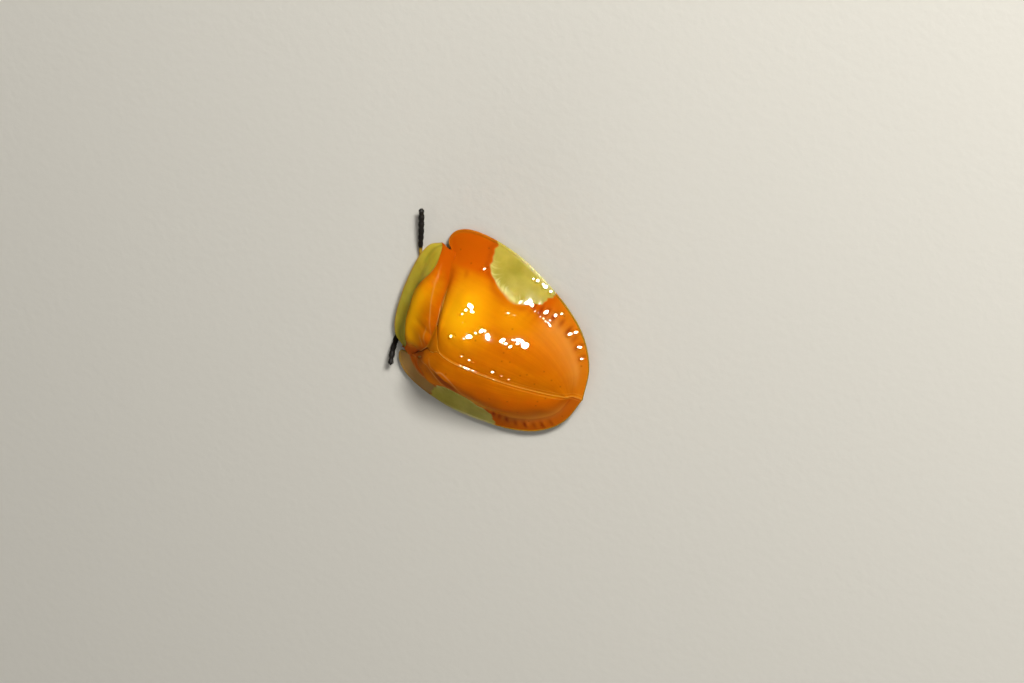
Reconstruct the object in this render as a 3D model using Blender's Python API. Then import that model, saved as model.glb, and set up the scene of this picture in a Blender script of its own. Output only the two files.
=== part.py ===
"""A tortoise beetle at life size, standing with its legs drawn in under its shield.

Metres, +Z up. The beetle looks along -Y, so its own left side is at +X. The origin is on the
floor, under the middle of the whole animal's box.
"""
import math

import bmesh
import bpy
import numpy as np
from mathutils import Matrix, Vector

MM = 0.001
GAP = 0.25                # left between neighbouring pieces, in mm like every size below
BOX_MIDDLE_Y = 6.123      # mm from the drawing's zero line to the middle of the box, front to back

# Shield: the two wing cases and the pronotum
SUTURE_HEIGHTS = [(4.0, 4.15), (4.7, 4.62), (5.5, 4.88), (6.6, 4.72), (8.9, 3.82), (11.0, 2.55),
                  (12.3, 1.5), (13.0, 0.92)]
SUTURE = [(0.78, 4.12), (0.45, 4.6), (GAP / 2, 5.1), (GAP / 2, 7.2), (GAP / 2, 9.5), (GAP / 2, 12.1)]
DISC_EDGE = [(3.5, 2.72, 1.4), (3.84, 3.8, 1.45), (4.0, 5.2, 1.5), (3.95, 6.9, 1.5), (3.82, 8.3, 1.45),
             (3.4, 9.8, 1.35), (2.65, 11.0, 1.28), (1.55, 11.95, 1.22), (GAP / 2, 12.35, 1.2)]
RIM = [(4.06, 2.0, 0.85), (4.3, 1.57, 0.6), (4.93, 1.7, 0.5), (5.47, 2.28, 0.48), (5.8, 3.25, 0.48),
       (5.93, 4.6, 0.5), (5.84, 6.2, 0.54), (5.38, 8.0, 0.6), (4.7, 9.84, 0.68), (3.64, 11.42, 0.76),
       (2.05, 12.54, 0.86), (GAP / 2, 13.0, 0.92)]
DOME_POWER = 1.3          # how flat the top of the disc is before it falls to its edge
CASE_THICK = 0.5
RIM_THICK = 0.3
RIM_STARTS = 1.7          # where a case begins to thin, on the scale of case_point
CASE_ROWS = 26
DISC_COLUMNS = 9
MARGIN_COLUMNS = 4

PRONOTUM_BACK = [(0.0, 3.84, 3.74), (0.75, 3.7, 3.62), (1.8, 3.16, 3.0), (2.8, 2.58, 1.95), (3.58, 2.0, 1.0)]
PRONOTUM_FRONT = [(0.0, 0.3, 1.05), (1.5, 0.36, 1.0), (2.6, 0.5, 0.88), (3.42, 0.8, 0.76), (3.84, 1.34, 0.72)]
PRONOTUM_FALL = [(0.0, 0.0), (0.25, 0.09), (0.5, 0.33), (0.7, 0.7), (0.82, 0.86), (1.0, 1.0)]
PRONOTUM_THICK = 0.5
PRONOTUM_TURN = math.radians(2.5)  # to the beetle's right, about a point on its middle line
PRONOTUM_PIVOT_Y = 2.5
PRONOTUM_COLUMNS = 9
PRONOTUM_ROWS = 9

SCUTELLUM_HALF_WIDTH = 0.5
SCUTELLUM_FRONT_Y = 4.1
SCUTELLUM_TIP_Y = 4.86
SCUTELLUM_THICK = 0.42

# Trunk
BELLY_Z = 1.0
BELLY_RISE = 0.12         # how much higher the belly is at its sides than along its middle
TRUNK_REACH = 0.82        # share of the disc's half width that the trunk fills
THORAX_SPAN = (0.0, 0.335)
ABDOMEN_SPAN = (0.372, 0.88)
THORAX_SEGMENTS = 2
ABDOMEN_SEGMENTS = 5
SEGMENT_STEP = 0.09       # depth of the groove between two belly plates
PROTHORAX_SPAN = (0.0, 0.38)
PROTHORAX_REACH = 0.46

# Head
HEAD_CENTRE = (0.0, 1.65, 0.62)
HEAD_RADII = (0.95, 0.6, 0.44)
FACE_CENTRE = (0.0, 1.16, 0.56)
FACE_RADII = (0.52, 0.26, 0.3)
LIP_CENTRE = (0.0, 0.92, 0.46)
LIP_RADII = (0.34, 0.17, 0.13)
JAW_CENTRE = (0.19, 0.98, 0.27)
JAW_RADII = (0.22, 0.23, 0.13)
MOUTH_CENTRE = (0.0, 0.74, 0.36)
MOUTH_RADII = (0.46, 0.24, 0.035)
PALP = [(0.42, 1.3, 0.36), (0.6, 1.1, 0.28), (0.66, 0.9, 0.26)]
PALP_RADII = (0.14, 0.15, 0.1)
EYE_CENTRE = (0.8, 1.52, 0.72)
EYE_RADII = (0.3, 0.38, 0.34)
EYE_BALL = (16, 10)       # how finely an eye is divided, round it and from end to end

# Feelers, one route for each side, because each is held in its own way
RIGHT_FEELER = [(-0.36, 0.6, 0.62), (-1.1, 0.5, 0.42), (-1.9, 0.32, 0.28), (-2.75, 0.1, 0.44),
                (-4.0, -0.22, 0.7), (-5.29, -0.61, 0.92)]
LEFT_FEELER = [(0.36, 0.6, 0.62), (1.1, 0.56, 0.42), (1.9, 0.56, 0.27), (2.8, 0.74, 0.3), (3.75, 1.0, 0.4),
               (4.6, 1.18, 0.66), (5.4, 1.48, 0.88)]
FEELER_SEGMENTS = 11
FEELER_RADIUS = 0.22
FEELER_WAIST = 0.78       # radius between two segments, as a share of the segment's
FEELER_SIDES = 8

# Legs of the left side: hip, knee, ankle and toe. The right side mirrors them.
LEGS = {
    "front": ((0.85, 2.8, 0.44), (2.2, 2.62, 0.54), (2.35, 1.8, 0.42), (2.95, 1.72, 0.2)),
    "middle": ((1.35, 4.9, 0.44), (2.9, 4.35, 0.56), (3.45, 5.2, 0.42), (4.15, 5.75, 0.2)),
    "hind": ((1.5, 6.25, 0.44), (3.0, 6.95, 0.56), (3.1, 8.2, 0.42), (3.55, 8.9, 0.2)),
}
HIP_RADIUS = 0.31
THIGH_RADII = (0.25, 0.33, 0.27)
SHIN_RADII = (0.22, 0.26)
TOE_LOBES = 3
TOE_RADII = (0.3, 0.25, 0.26)  # along the toe, across it, and up
CLAW_REACH = 0.52         # from the middle of the last lobe to a claw's tip
CLAW_SPREAD = math.radians(24)
CLAW_RADII = (0.12, 0.1, 0.03)
CLAW_BEND = ((0.3, 0.1), (0.75, 0.12), (1, 0))     # share of the reach, and rise


def curve_through(points):
    """A smooth curve through a few points, as a function of 0 to 1, evenly along its length."""
    control = np.array(points, float)
    padded = np.vstack([2 * control[0] - control[1], control, 2 * control[-1] - control[-2]])
    fine = []
    for i in range(len(control) - 1):
        a, b, c, d = padded[i:i + 4]
        for t in np.linspace(0, 1, 24, endpoint=False):
            fine.append(0.5 * (2 * b + (c - a) * t + (2 * a - 5 * b + 4 * c - d) * t ** 2
                               + (3 * b - 3 * c + d - a) * t ** 3))
    fine = np.array(fine + [control[-1]])
    steps = np.linalg.norm(np.diff(fine, axis=0), axis=1)
    along = np.concatenate([[0], np.cumsum(steps)]) / steps.sum()
    return lambda t: np.array([np.interp(t, along, fine[:, k]) for k in range(fine.shape[1])])


suture = curve_through(SUTURE)
disc_edge = curve_through(DISC_EDGE)
rim = curve_through(RIM)
pronotum_back = curve_through(PRONOTUM_BACK)
pronotum_front = curve_through(PRONOTUM_FRONT)


def curve_table(points):
    """The two columns of a smooth curve, for reading the second by the first."""
    smooth = curve_through(points)
    line = np.array([smooth(t) for t in np.linspace(0, 1, 80)])
    return line[:, 0], line[:, 1]


suture_heights = curve_table(SUTURE_HEIGHTS)
pronotum_fall = curve_table(PRONOTUM_FALL)


def height_of_suture(y):
    return float(np.interp(y, *suture_heights))


def case_point(across, along):
    """Top of a wing case: across is 0 at the suture, 1 at the disc's edge and 2 at the rim."""
    inner = suture(along)
    edge = disc_edge(along)
    if across <= 1:
        x, y = inner + (edge[:2] - inner) * across
        crown = height_of_suture(inner[1])
        z = edge[2] + (crown - edge[2]) * math.cos(math.pi / 2 * across ** DOME_POWER)
        return np.array([x, y, z])
    outer = rim(along)
    return edge + (outer - edge) * (across - 1)


def case_thickness(across):
    return np.interp(across, (0, RIM_STARTS, 2), (CASE_THICK, CASE_THICK, RIM_THICK))


def pronotum_point(across, along):
    """Top of the pronotum: across is -1 to 1 from side to side, along is 0 at the back edge."""
    side = -1 if across < 0 else 1
    back = pronotum_back(abs(across))
    front = pronotum_front(abs(across))
    fall = np.interp(along, *pronotum_fall)
    x, y = back[:2] + (front[:2] - back[:2]) * along
    return np.array([side * x, y, back[2] + (front[2] - back[2]) * fall])


def pronotum_thickness(along):
    return PRONOTUM_THICK + (RIM_THICK - PRONOTUM_THICK) * along


def turned_with_pronotum(grid):
    """Points turned about the pronotum's upright axis, its right side forward."""
    x, y = grid[..., 0], grid[..., 1] - PRONOTUM_PIVOT_Y
    cosine, sine = math.cos(PRONOTUM_TURN), math.sin(PRONOTUM_TURN)
    return np.stack([x * cosine - y * sine, x * sine + y * cosine + PRONOTUM_PIVOT_Y, grid[..., 2]], axis=-1)


def below(grid, depth):
    """A grid of points moved inwards along its own normals, by one depth or by one for each point."""
    rows, columns = np.gradient(grid, axis=0), np.gradient(grid, axis=1)
    normal = np.cross(rows, columns)
    normal /= np.linalg.norm(normal, axis=2, keepdims=True)
    normal *= np.where(normal[..., 2:] < 0, -1, 1)
    return grid - normal * np.broadcast_to(depth, grid.shape[:2])[..., None]


def in_metres(points):
    return (np.asarray(points, float) - (0, BOX_MIDDLE_Y, 0)) * MM


def new_object(name, bm, colour, roughness=0.3):
    """A named object with its own material, from a closed bmesh in millimetres."""
    bmesh.ops.recalc_face_normals(bm, faces=bm.faces)
    mesh = bpy.data.meshes.new(name)
    bm.to_mesh(mesh)
    bm.free()
    mesh.shade_smooth()
    obj = bpy.data.objects.new(name, mesh)
    bpy.context.scene.collection.objects.link(obj)
    material = bpy.data.materials.new(name)
    material.use_nodes = True
    shader = material.node_tree.nodes["Principled BSDF"]
    shader.inputs["Base Color"].default_value = (*colour, 1)
    shader.inputs["Roughness"].default_value = roughness
    mesh.materials.append(material)
    return obj


def shell(top, bottom):
    """A closed bmesh between two grids of points of the same shape."""
    bm = bmesh.new()
    rows, columns = top.shape[:2]
    grids = [[[bm.verts.new(grid[i, j]) for j in range(columns)] for i in range(rows)]
             for grid in (top, bottom)]
    for i in range(rows - 1):
        for j in range(columns - 1):
            for grid in grids:
                bm.faces.new((grid[i][j], grid[i + 1][j], grid[i + 1][j + 1], grid[i][j + 1]))
    border = ([(i, 0) for i in range(rows - 1)] + [(rows - 1, j) for j in range(columns - 1)]
              + [(i, columns - 1) for i in range(rows - 1, 0, -1)]
              + [(0, j) for j in range(columns - 1, 0, -1)])
    for (i, j), (k, m) in zip(border, border[1:] + border[:1]):
        bm.faces.new((grids[0][i][j], grids[0][k][m], grids[1][k][m], grids[1][i][j]))
    return bm


def ball(centre, radii, turn=None, segments=10, rings=6):
    """A closed ellipsoid. turn is a rotation of its own axes."""
    bm = bmesh.new()
    bmesh.ops.create_uvsphere(bm, u_segments=segments, v_segments=rings, radius=1)
    place = Matrix.Translation(Vector(in_metres(centre))) @ (turn or Matrix()) @ Matrix.Diagonal(
        (*[r * MM for r in radii], 1))
    bmesh.ops.transform(bm, matrix=place, verts=bm.verts)
    return bm


def tube(points, radii, sides):
    """A closed tube along points in millimetres, with flat ends."""
    bm = bmesh.new()
    path = [Vector(in_metres(p)) for p in points]
    rings = []
    for i, here in enumerate(path):
        ahead = path[min(i + 1, len(path) - 1)] - path[max(i - 1, 0)]
        turn = ahead.to_track_quat("Z", "Y")
        ring = []
        for k in range(sides):
            angle = math.tau * k / sides
            spoke = turn @ Vector((math.cos(angle), math.sin(angle), 0))
            ring.append(bm.verts.new(here + spoke * radii[i] * MM))
        rings.append(ring)
    for first, second in zip(rings, rings[1:]):
        for k in range(sides):
            n = (k + 1) % sides
            bm.faces.new((first[k], first[n], second[n], second[k]))
    bm.faces.new(rings[0][::-1])
    bm.faces.new(rings[-1])
    return bm


def largest_surface(mesh):
    """Drops every closed surface of a mesh but the one with the most faces."""
    bm = bmesh.new()
    bm.from_mesh(mesh)
    left = set(bm.faces)
    islands = []
    while left:
        island, front = set(), [left.pop()]
        while front:
            face = front.pop()
            island.add(face)
            near = {n for edge in face.edges for n in edge.link_faces} & left
            left -= near
            front += near
        islands.append(island)
    keep = max(islands, key=len)
    bmesh.ops.delete(bm, geom=[f for f in bm.faces if f not in keep], context="FACES")
    bm.to_mesh(mesh)
    bm.free()


def fused(name, pieces, colour, roughness=0.3, floor=False):
    """One node from overlapping closed pieces. floor cuts it flat where it stands."""
    host = new_object(name, pieces[0], colour, roughness)
    group = bpy.data.collections.new(name + "_pieces")
    bpy.context.scene.collection.children.link(group)
    others = []
    for k, piece in enumerate(pieces[1:]):
        other = new_object(f"{name}_{k}", piece, colour)
        bpy.context.scene.collection.objects.unlink(other)
        group.objects.link(other)
        others.append(other)
    union = host.modifiers.new("union", "BOOLEAN")
    union.operation = "UNION"
    union.operand_type = "COLLECTION"
    union.collection = group
    union.solver = "MANIFOLD"
    bpy.context.view_layer.update()
    joined = bpy.data.meshes.new_from_object(host.evaluated_get(bpy.context.evaluated_depsgraph_get()))
    host.modifiers.clear()
    host.data = joined
    for other in others:
        bpy.data.objects.remove(other)
    bpy.data.collections.remove(group)
    if floor:
        bm = bmesh.new()
        bm.from_mesh(joined)
        cut = bmesh.ops.bisect_plane(bm, geom=bm.verts[:] + bm.edges[:] + bm.faces[:], dist=1e-7,
                                     plane_co=(0, 0, 0), plane_no=(0, 0, -1), clear_outer=True)
        rim_edges = [e for e in cut["geom_cut"] if isinstance(e, bmesh.types.BMEdge)]
        bmesh.ops.holes_fill(bm, edges=rim_edges, sides=0)
        bmesh.ops.recalc_face_normals(bm, faces=bm.faces)
        bm.to_mesh(joined)
        bm.free()
    largest_surface(joined)
    joined.shade_smooth()
    return host


ORANGE = (0.8, 0.22, 0.01)
AMBER = (0.75, 0.33, 0.03)
YELLOW = (0.72, 0.45, 0.05)
DARK = (0.03, 0.022, 0.015)


def make_wing_case(name, side):
    """One wing case: a domed disc and the broad, thin margin round it."""
    shares = np.linspace(0, 1, CASE_ROWS)
    steps = np.concatenate([np.linspace(0, 1, DISC_COLUMNS + 1), np.linspace(1, 2, MARGIN_COLUMNS + 1)[1:]])
    top = np.array([[case_point(u, v) for u in steps] for v in shares])
    bottom = below(top, case_thickness(steps))
    bottom[..., 0] = np.maximum(bottom[..., 0], GAP / 2)
    for grid in (top, bottom):
        grid[..., 0] *= side
    return new_object(name, shell(in_metres(top), in_metres(bottom)), ORANGE)


def make_pronotum():
    """The plate over the head and the front legs."""
    half = np.linspace(0, 1, PRONOTUM_COLUMNS + 1)
    across = np.concatenate([-half[:0:-1], half])
    along = np.linspace(0, 1, PRONOTUM_ROWS + 1)
    top = np.array([[pronotum_point(u, v) for u in across] for v in along])
    bottom = below(top, pronotum_thickness(along)[:, None])
    top, bottom = turned_with_pronotum(top), turned_with_pronotum(bottom)
    return new_object("pronotum", shell(in_metres(top), in_metres(bottom)), AMBER)


def make_scutellum():
    """The small triangular plate between the bases of the wing cases."""
    rows = []
    for t in np.linspace(0, 1, 4):
        y = SCUTELLUM_FRONT_Y + (SCUTELLUM_TIP_Y - SCUTELLUM_FRONT_Y) * t
        half = SCUTELLUM_HALF_WIDTH * (1 - 0.88 * t)
        rows.append([(half * k, y, height_of_suture(y) - 0.06 * abs(k)) for k in (-1, 0, 1)])
    top = np.array(rows)
    bottom = top - (0, 0, SCUTELLUM_THICK)
    return new_object("scutellum", shell(in_metres(top), in_metres(bottom)), ORANGE)


def belly_height(x, half_width):
    return BELLY_Z + BELLY_RISE * (x / half_width) ** 2


def make_trunk(name, span, rows, segments=0):
    """A length of the trunk, whose back fits under the wing cases and whose belly is plated."""
    stations = np.linspace(*span, rows)
    reach = [np.linspace(0, TRUNK_REACH * min(1, 1.5 * (1.16 - v)), 7) for v in stations]
    half = np.array([[case_point(u, v) for u in row] for row, v in zip(reach, stations)])
    half = below(half, CASE_THICK + GAP)
    top = np.concatenate([half[:, ::-1] * (-1, 1, 1), half], axis=1)
    bottom = top.copy()
    bottom[..., 2] = belly_height(bottom[..., 0], top[..., 0].max())
    if segments:
        place = np.linspace(0, segments, rows)
        grooves = np.abs(place - np.round(place)) < 0.12
        grooves[[0, -1]] = False
        bottom[grooves, :, 2] += SEGMENT_STEP
    return new_object(name, shell(in_metres(top), in_metres(bottom)), YELLOW)


def make_prothorax():
    """The block under the pronotum that carries the front legs."""
    across = np.linspace(-PROTHORAX_REACH, PROTHORAX_REACH, 9)
    along = np.linspace(*PROTHORAX_SPAN, 6)
    top = np.array([[pronotum_point(u, v) for u in across] for v in along])
    top = below(top, PRONOTUM_THICK + GAP)
    bottom = top.copy()
    bottom[..., 2] = belly_height(bottom[..., 0], top[..., 0].max())
    return new_object("prothorax", shell(in_metres(top), in_metres(bottom)), YELLOW)


def make_head():
    """The head, tucked under the pronotum: skull, face, upper lip, jaws and palps, and the mouth between."""
    pieces = [ball(HEAD_CENTRE, HEAD_RADII, segments=22, rings=14)]
    pieces.append(ball(FACE_CENTRE, FACE_RADII, segments=16, rings=10))
    pieces.append(ball(LIP_CENTRE, LIP_RADII, segments=16, rings=8))
    for side in (-1, 1):
        pieces.append(ball(mirrored(JAW_CENTRE, side), JAW_RADII, segments=14, rings=8))
        pieces.append(tube([mirrored(point, side) for point in PALP], PALP_RADII, 8))
    head = fused("head", pieces, AMBER)
    hollow_out(head, "mouth_line", ball(MOUTH_CENTRE, MOUTH_RADII, segments=16, rings=8))
    for side in (-1, 1):
        grown = [r + GAP for r in EYE_RADII]
        hollow_out(head, f"eye_socket_{side}", ball(mirrored(EYE_CENTRE, side), grown, None, *EYE_BALL))
    return head


def hollow_out(host, name, shape):
    """Cuts a hidden closed shape out of an object."""
    cutter = new_object(name, shape, DARK)
    cutter.hide_render = True
    cutter.display_type = "WIRE"
    cut = host.modifiers.new(name, "BOOLEAN")
    cut.operation = "DIFFERENCE"
    cut.object = cutter
    cut.solver = "MANIFOLD"


def mirrored(point, side):
    return (point[0] * side, *point[1:])


def make_eye(name, side):
    """An eye, sunk in its socket at the side of the head."""
    return new_object(name, ball(mirrored(EYE_CENTRE, side), EYE_RADII, None, *EYE_BALL), DARK, 0.15)


def make_feeler(name, route):
    """A feeler of beads, each a little narrower where it meets the next, with a fine tip."""
    path = curve_through(route)
    shares, radii = [], []
    for k in range(FEELER_SEGMENTS):
        for t, swell in ((0.06, FEELER_WAIST), (0.5, 1.0), (0.94, FEELER_WAIST)):
            shares.append((k + t) / FEELER_SEGMENTS)
            radii.append(FEELER_RADIUS * swell)
    radii[-1] *= 0.6
    return new_object(name, tube([path(t) for t in shares], radii, FEELER_SIDES), DARK, 0.5)


def make_leg(name, joints, side):
    """A leg: hip, thigh, shin and a broad lobed foot with a flat sole."""
    hip, knee, ankle, toe = (np.array(p) * (side, 1, 1) for p in joints)
    middle = hip + (knee - hip) * 0.55
    pieces = [ball(hip, [HIP_RADIUS] * 3, segments=12, rings=8)]
    pieces.append(tube([hip, middle, knee], THIGH_RADII, 10))
    pieces.append(ball(knee, [THIGH_RADII[2] + 0.02] * 3, segments=10, rings=6))
    pieces.append(tube([knee, ankle], SHIN_RADII, 10))
    pieces.append(ball(ankle, [SHIN_RADII[1] + 0.02] * 3, segments=10, rings=6))
    flat = (toe - ankle) * (1, 1, 0)
    turn = Matrix.Rotation(math.atan2(flat[1], flat[0]), 4, "Z")
    for k in range(TOE_LOBES):
        place = ankle + (toe - ankle) * (k + 0.7) / (TOE_LOBES - 0.3)
        place[2] = toe[2] - 0.06
        pieces.append(ball(place, TOE_RADII, turn, segments=12, rings=8))
    ahead = math.atan2(flat[1], flat[0])
    for spread in (-CLAW_SPREAD, CLAW_SPREAD):
        way = np.array([math.cos(ahead + spread), math.sin(ahead + spread), 0])
        bent = [place + way * CLAW_REACH * share + (0, 0, rise) for share, rise in CLAW_BEND]
        pieces.append(tube(bent, CLAW_RADII, 6))
    return fused(name, pieces, YELLOW, floor=True)


def main():
    for obj in list(bpy.data.objects):
        bpy.data.objects.remove(obj)
    make_wing_case("elytron_left", 1)
    make_wing_case("elytron_right", -1)
    make_pronotum()
    make_scutellum()
    make_prothorax()
    make_trunk("thorax", THORAX_SPAN, 9, THORAX_SEGMENTS)
    make_trunk("abdomen", ABDOMEN_SPAN, 16, ABDOMEN_SEGMENTS)
    make_head()
    for name, side in (("left", 1), ("right", -1)):
        make_eye(f"eye_{name}", side)
        for place, joints in LEGS.items():
            make_leg(f"leg_{place}_{name}", joints, side)
    make_feeler("antenna_right", RIGHT_FEELER)
    make_feeler("antenna_left", LEFT_FEELER)


main()
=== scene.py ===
# %% [markdown]
# # A tortoise beetle, dressed at life size
# A tortoise beetle hides its head, feelers and legs under a shield: the pronotum in front and two
# wing cases behind. The shield is clear horn with an orange layer under most of it, so it looks like
# wet amber with clear windows. This lesson dresses the plain solids of such a beetle, 13 mm long.
# The solids give the places and sizes; every visible surface here is a finer mesh over them.

# %% Load the frame
import math

import bpy
import numpy as np
from mathutils import Matrix, Vector


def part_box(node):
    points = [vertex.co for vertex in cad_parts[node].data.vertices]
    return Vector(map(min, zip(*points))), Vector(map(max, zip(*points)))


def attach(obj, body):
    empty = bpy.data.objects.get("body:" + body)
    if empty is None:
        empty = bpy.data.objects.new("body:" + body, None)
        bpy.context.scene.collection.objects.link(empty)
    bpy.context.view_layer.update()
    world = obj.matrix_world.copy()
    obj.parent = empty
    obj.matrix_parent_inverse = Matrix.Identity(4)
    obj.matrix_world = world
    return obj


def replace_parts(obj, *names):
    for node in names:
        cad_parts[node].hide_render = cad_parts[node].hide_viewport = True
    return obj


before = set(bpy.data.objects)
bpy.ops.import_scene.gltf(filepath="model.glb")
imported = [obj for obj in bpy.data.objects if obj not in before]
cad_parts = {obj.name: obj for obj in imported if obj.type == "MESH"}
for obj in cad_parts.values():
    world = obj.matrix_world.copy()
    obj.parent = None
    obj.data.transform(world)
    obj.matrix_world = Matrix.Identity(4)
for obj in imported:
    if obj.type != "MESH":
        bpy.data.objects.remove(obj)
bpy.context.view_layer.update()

MM = 0.001
SHIELD_LENGTH = 13.0          # mm, from the drawing's zero line to the tail end of the wing cases
zero_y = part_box("elytron_left")[1].y / MM - SHIELD_LENGTH
dice = np.random.default_rng(7)

# %% [markdown]
# ## Camera, light and floor
# The photograph looks down on the beetle from its right side. It was taken from close by with a long
# lens, so lines hardly converge. The camera here stands a quarter of a metre away with a long lens for
# the same reason, and it is turned about its own axis so that the beetle lies as in the photograph.
# Three lamps light the colours: a key, a broad one overhead, and a low fill that keeps the far flank
# glowing. They and the floor of pale matt card are left out of reflections, because a wet shell would
# mirror them as a white veil. A fourth lamp stands for the flash and is only there to be mirrored: it
# gives each bump of the shell a wet glint.

# %% The camera
VIEW_RIGHT = Vector((-0.34776, 0.82732, -0.44114))   # what is to the right in the picture
VIEW_UP = Vector((-0.75634, -0.52560, -0.38949))
TO_CAMERA = VIEW_RIGHT.cross(VIEW_UP).normalized()
PICTURE_WIDTH = 60.0          # mm of the beetle's surroundings across the picture
CAMERA_DISTANCE = 250.0       # mm
SENSOR_WIDTH = 36.0           # mm
SHIELD_MIDDLE = Vector((0, SHIELD_LENGTH / 2 + zero_y, 1.5))
SHIFT_RIGHT, SHIFT_UP = 1.494, 0.205       # mm from there to the middle of the picture
PICTURE_CENTRE = SHIELD_MIDDLE + VIEW_RIGHT * SHIFT_RIGHT + VIEW_UP * SHIFT_UP

camera_data = bpy.data.cameras.new("camera")
camera_data.sensor_width = SENSOR_WIDTH
camera_data.lens = SENSOR_WIDTH * CAMERA_DISTANCE / PICTURE_WIDTH
camera_data.clip_start = 0.01
camera = bpy.data.objects.new("camera", camera_data)
bpy.context.scene.collection.objects.link(camera)
side_way = (VIEW_RIGHT - VIEW_RIGHT.project(TO_CAMERA)).normalized()
turn = Matrix((side_way, TO_CAMERA.cross(side_way), TO_CAMERA)).transposed()
place = (PICTURE_CENTRE + TO_CAMERA * CAMERA_DISTANCE) * MM
camera.matrix_world = Matrix.Translation(place) @ turn.to_4x4()
bpy.context.scene.camera = camera
print("lens", round(camera_data.lens, 1), "mm, camera at", [round(v, 4) for v in camera.location])


# %% Lamps
LAMP_DISTANCE = 220.0         # mm
WARM_WHITE = (1, 0.97, 0.92)
FLASH_WAY = (-0.78, 0.23, 0.58)


def soft_lamp(name, way, size, power, mirrored):
    """A square lamp, size in mm, that looks at the beetle from the direction way. It either lights
    the beetle or is only mirrored in its gloss."""
    data = bpy.data.lights.new(name, "AREA")
    data.size = size * MM
    data.energy = power
    data.color = WARM_WHITE
    lamp = bpy.data.objects.new(name, data)
    lamp.visible_glossy = mirrored
    lamp.visible_diffuse = not mirrored
    lamp.visible_transmission = not mirrored
    bpy.context.scene.collection.objects.link(lamp)
    way = Vector(way).normalized()
    lamp.location = (Vector((0, 0, 2)) + way * LAMP_DISTANCE) * MM
    lamp.rotation_euler = way.to_track_quat("Z", "Y").to_euler()
    print(name, "lamp,", size, "mm wide,", power, "W")


soft_lamp("flash", FLASH_WAY, 14, 1.8, True)
soft_lamp("key", (-0.76, 0.2, 0.61), 40, 0.48, False)
soft_lamp("overhead", (-0.15, 0.05, 1.0), 300, 0.1, False)
soft_lamp("low fill", (0.95, 0.2, 0.15), 120, 0.16, False)

world = bpy.data.worlds.new("studio")
world.use_nodes = True
background = world.node_tree.nodes["Background"]
background.inputs["Color"].default_value = (*WARM_WHITE, 1)
background.inputs["Strength"].default_value = 0.03
bpy.context.scene.world = world
bpy.context.scene.view_settings.view_transform = "Standard"


# %% [markdown]
# ## Finishes
# Beetle skin is chitin. Where it is clear it has the optics of hard horn: an IOR near 1.55 and a
# very smooth outer face, here a coat over the coloured layer. Each material below is a small node
# tree. One helper adds a node with its settings and links, and another turns the sRGB hex of a
# colour into the linear values that a shader works in.

# %% Helpers for finishes
def colour(hex_code):
    """Linear red, green, blue and alpha of an sRGB hex colour."""
    parts = [int(hex_code[i:i + 2], 16) / 255 for i in (1, 3, 5)]
    return (*[p / 12.92 if p <= 0.04045 else ((p + 0.055) / 1.055) ** 2.4 for p in parts], 1)


def add(tree, kind, settings=None, links=None):
    """A node. Numbered or capitalised settings are sockets, and the others are its own options."""
    node = tree.nodes.new(kind)
    for key, value in (settings or {}).items():
        if isinstance(key, int) or key[0].isupper():
            node.inputs[key].default_value = value
        else:
            setattr(node, key, value)
    for key, source in (links or {}).items():
        tree.links.new(source, node.inputs[key])
    return node


def new_finish(name, settings):
    """A material and its shader, with the values that are the same all over."""
    material = bpy.data.materials.new(name)
    material.use_nodes = True
    shader = material.node_tree.nodes["Principled BSDF"]
    for key, value in settings.items():
        shader.inputs[key].default_value = value
    return material, material.node_tree, shader


def mixed(tree, share, first, second):
    """The socket of a colour between two, each a hex colour or a socket."""
    settings, links = {"data_type": "RGBA"}, {0: share}
    for key, value in ((6, first), (7, second)):
        if isinstance(value, str):
            settings[key] = colour(value)
        else:
            links[key] = value
    return add(tree, "ShaderNodeMix", settings, links).outputs[2]


def mask(tree, name):
    """The socket of a number that a mesh carries at each of its points."""
    return add(tree, "ShaderNodeAttribute", {"attribute_name": name}).outputs["Fac"]


def spots(tree, size, low, high, where=None):
    """The socket of soft random patches about size mm across, stretched to the span low to high."""
    where = where or add(tree, "ShaderNodeTexCoord").outputs["Object"]
    in_mm = add(tree, "ShaderNodeVectorMath", {"operation": "SCALE", "Scale": 1 / MM}, {0: where}).outputs[0]
    noise = add(tree, "ShaderNodeTexNoise", {"Scale": 1 / size, "Detail": 3.0}, {"Vector": in_mm})
    span = {"From Min": 0.32, "From Max": 0.68, "To Min": low, "To Max": high}
    return add(tree, "ShaderNodeMapRange", span, {"Value": noise.outputs["Fac"]}).outputs["Result"]


def bumped(tree, shader, height, depth):
    """Gives the shader a bump of that depth in mm."""
    bump = add(tree, "ShaderNodeBump", {"Strength": 1.0, "Distance": depth * MM}, {"Height": height})
    tree.links.new(bump.outputs["Normal"], shader.inputs["Normal"])


print("the orange #CB6C02 is", [round(part, 3) for part in colour("#CB6C02")[:3]], "in linear light")

# %% Floor of matt card
CARD_FIBRE = 0.6              # mm, coarser than real pulp so that it shows
FLOOR_HALF = 400 * MM
card, tree, shader = new_finish("pale_matt_card", {"Base Color": colour("#DEDCD4"), "Roughness": 0.85})
bumped(tree, shader, spots(tree, CARD_FIBRE, 0.0, 1.0), 0.01)
corners = [(x * FLOOR_HALF, y * FLOOR_HALF, 0) for x, y in ((-1, -1), (1, -1), (1, 1), (-1, 1))]
floor_mesh = bpy.data.meshes.new("floor")
floor_mesh.from_pydata(corners, [], [(0, 1, 2, 3)])
floor_mesh.materials.append(card)
floor = bpy.data.objects.new("floor", floor_mesh)
floor.visible_glossy = False
bpy.context.scene.collection.objects.link(floor)
print("floor of", card.name)


# %% [markdown]
# ## Meshes from grids
# A wing case is a curved sheet, so the natural way to build it is as a grid of points: one direction
# runs from the seam out to the rim, and the other from front to back. A second grid just below
# it makes the inner face, and a strip round the border closes the sheet. Each point can also carry
# numbers, such as how clear the horn is there, that the finish reads.

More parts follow.
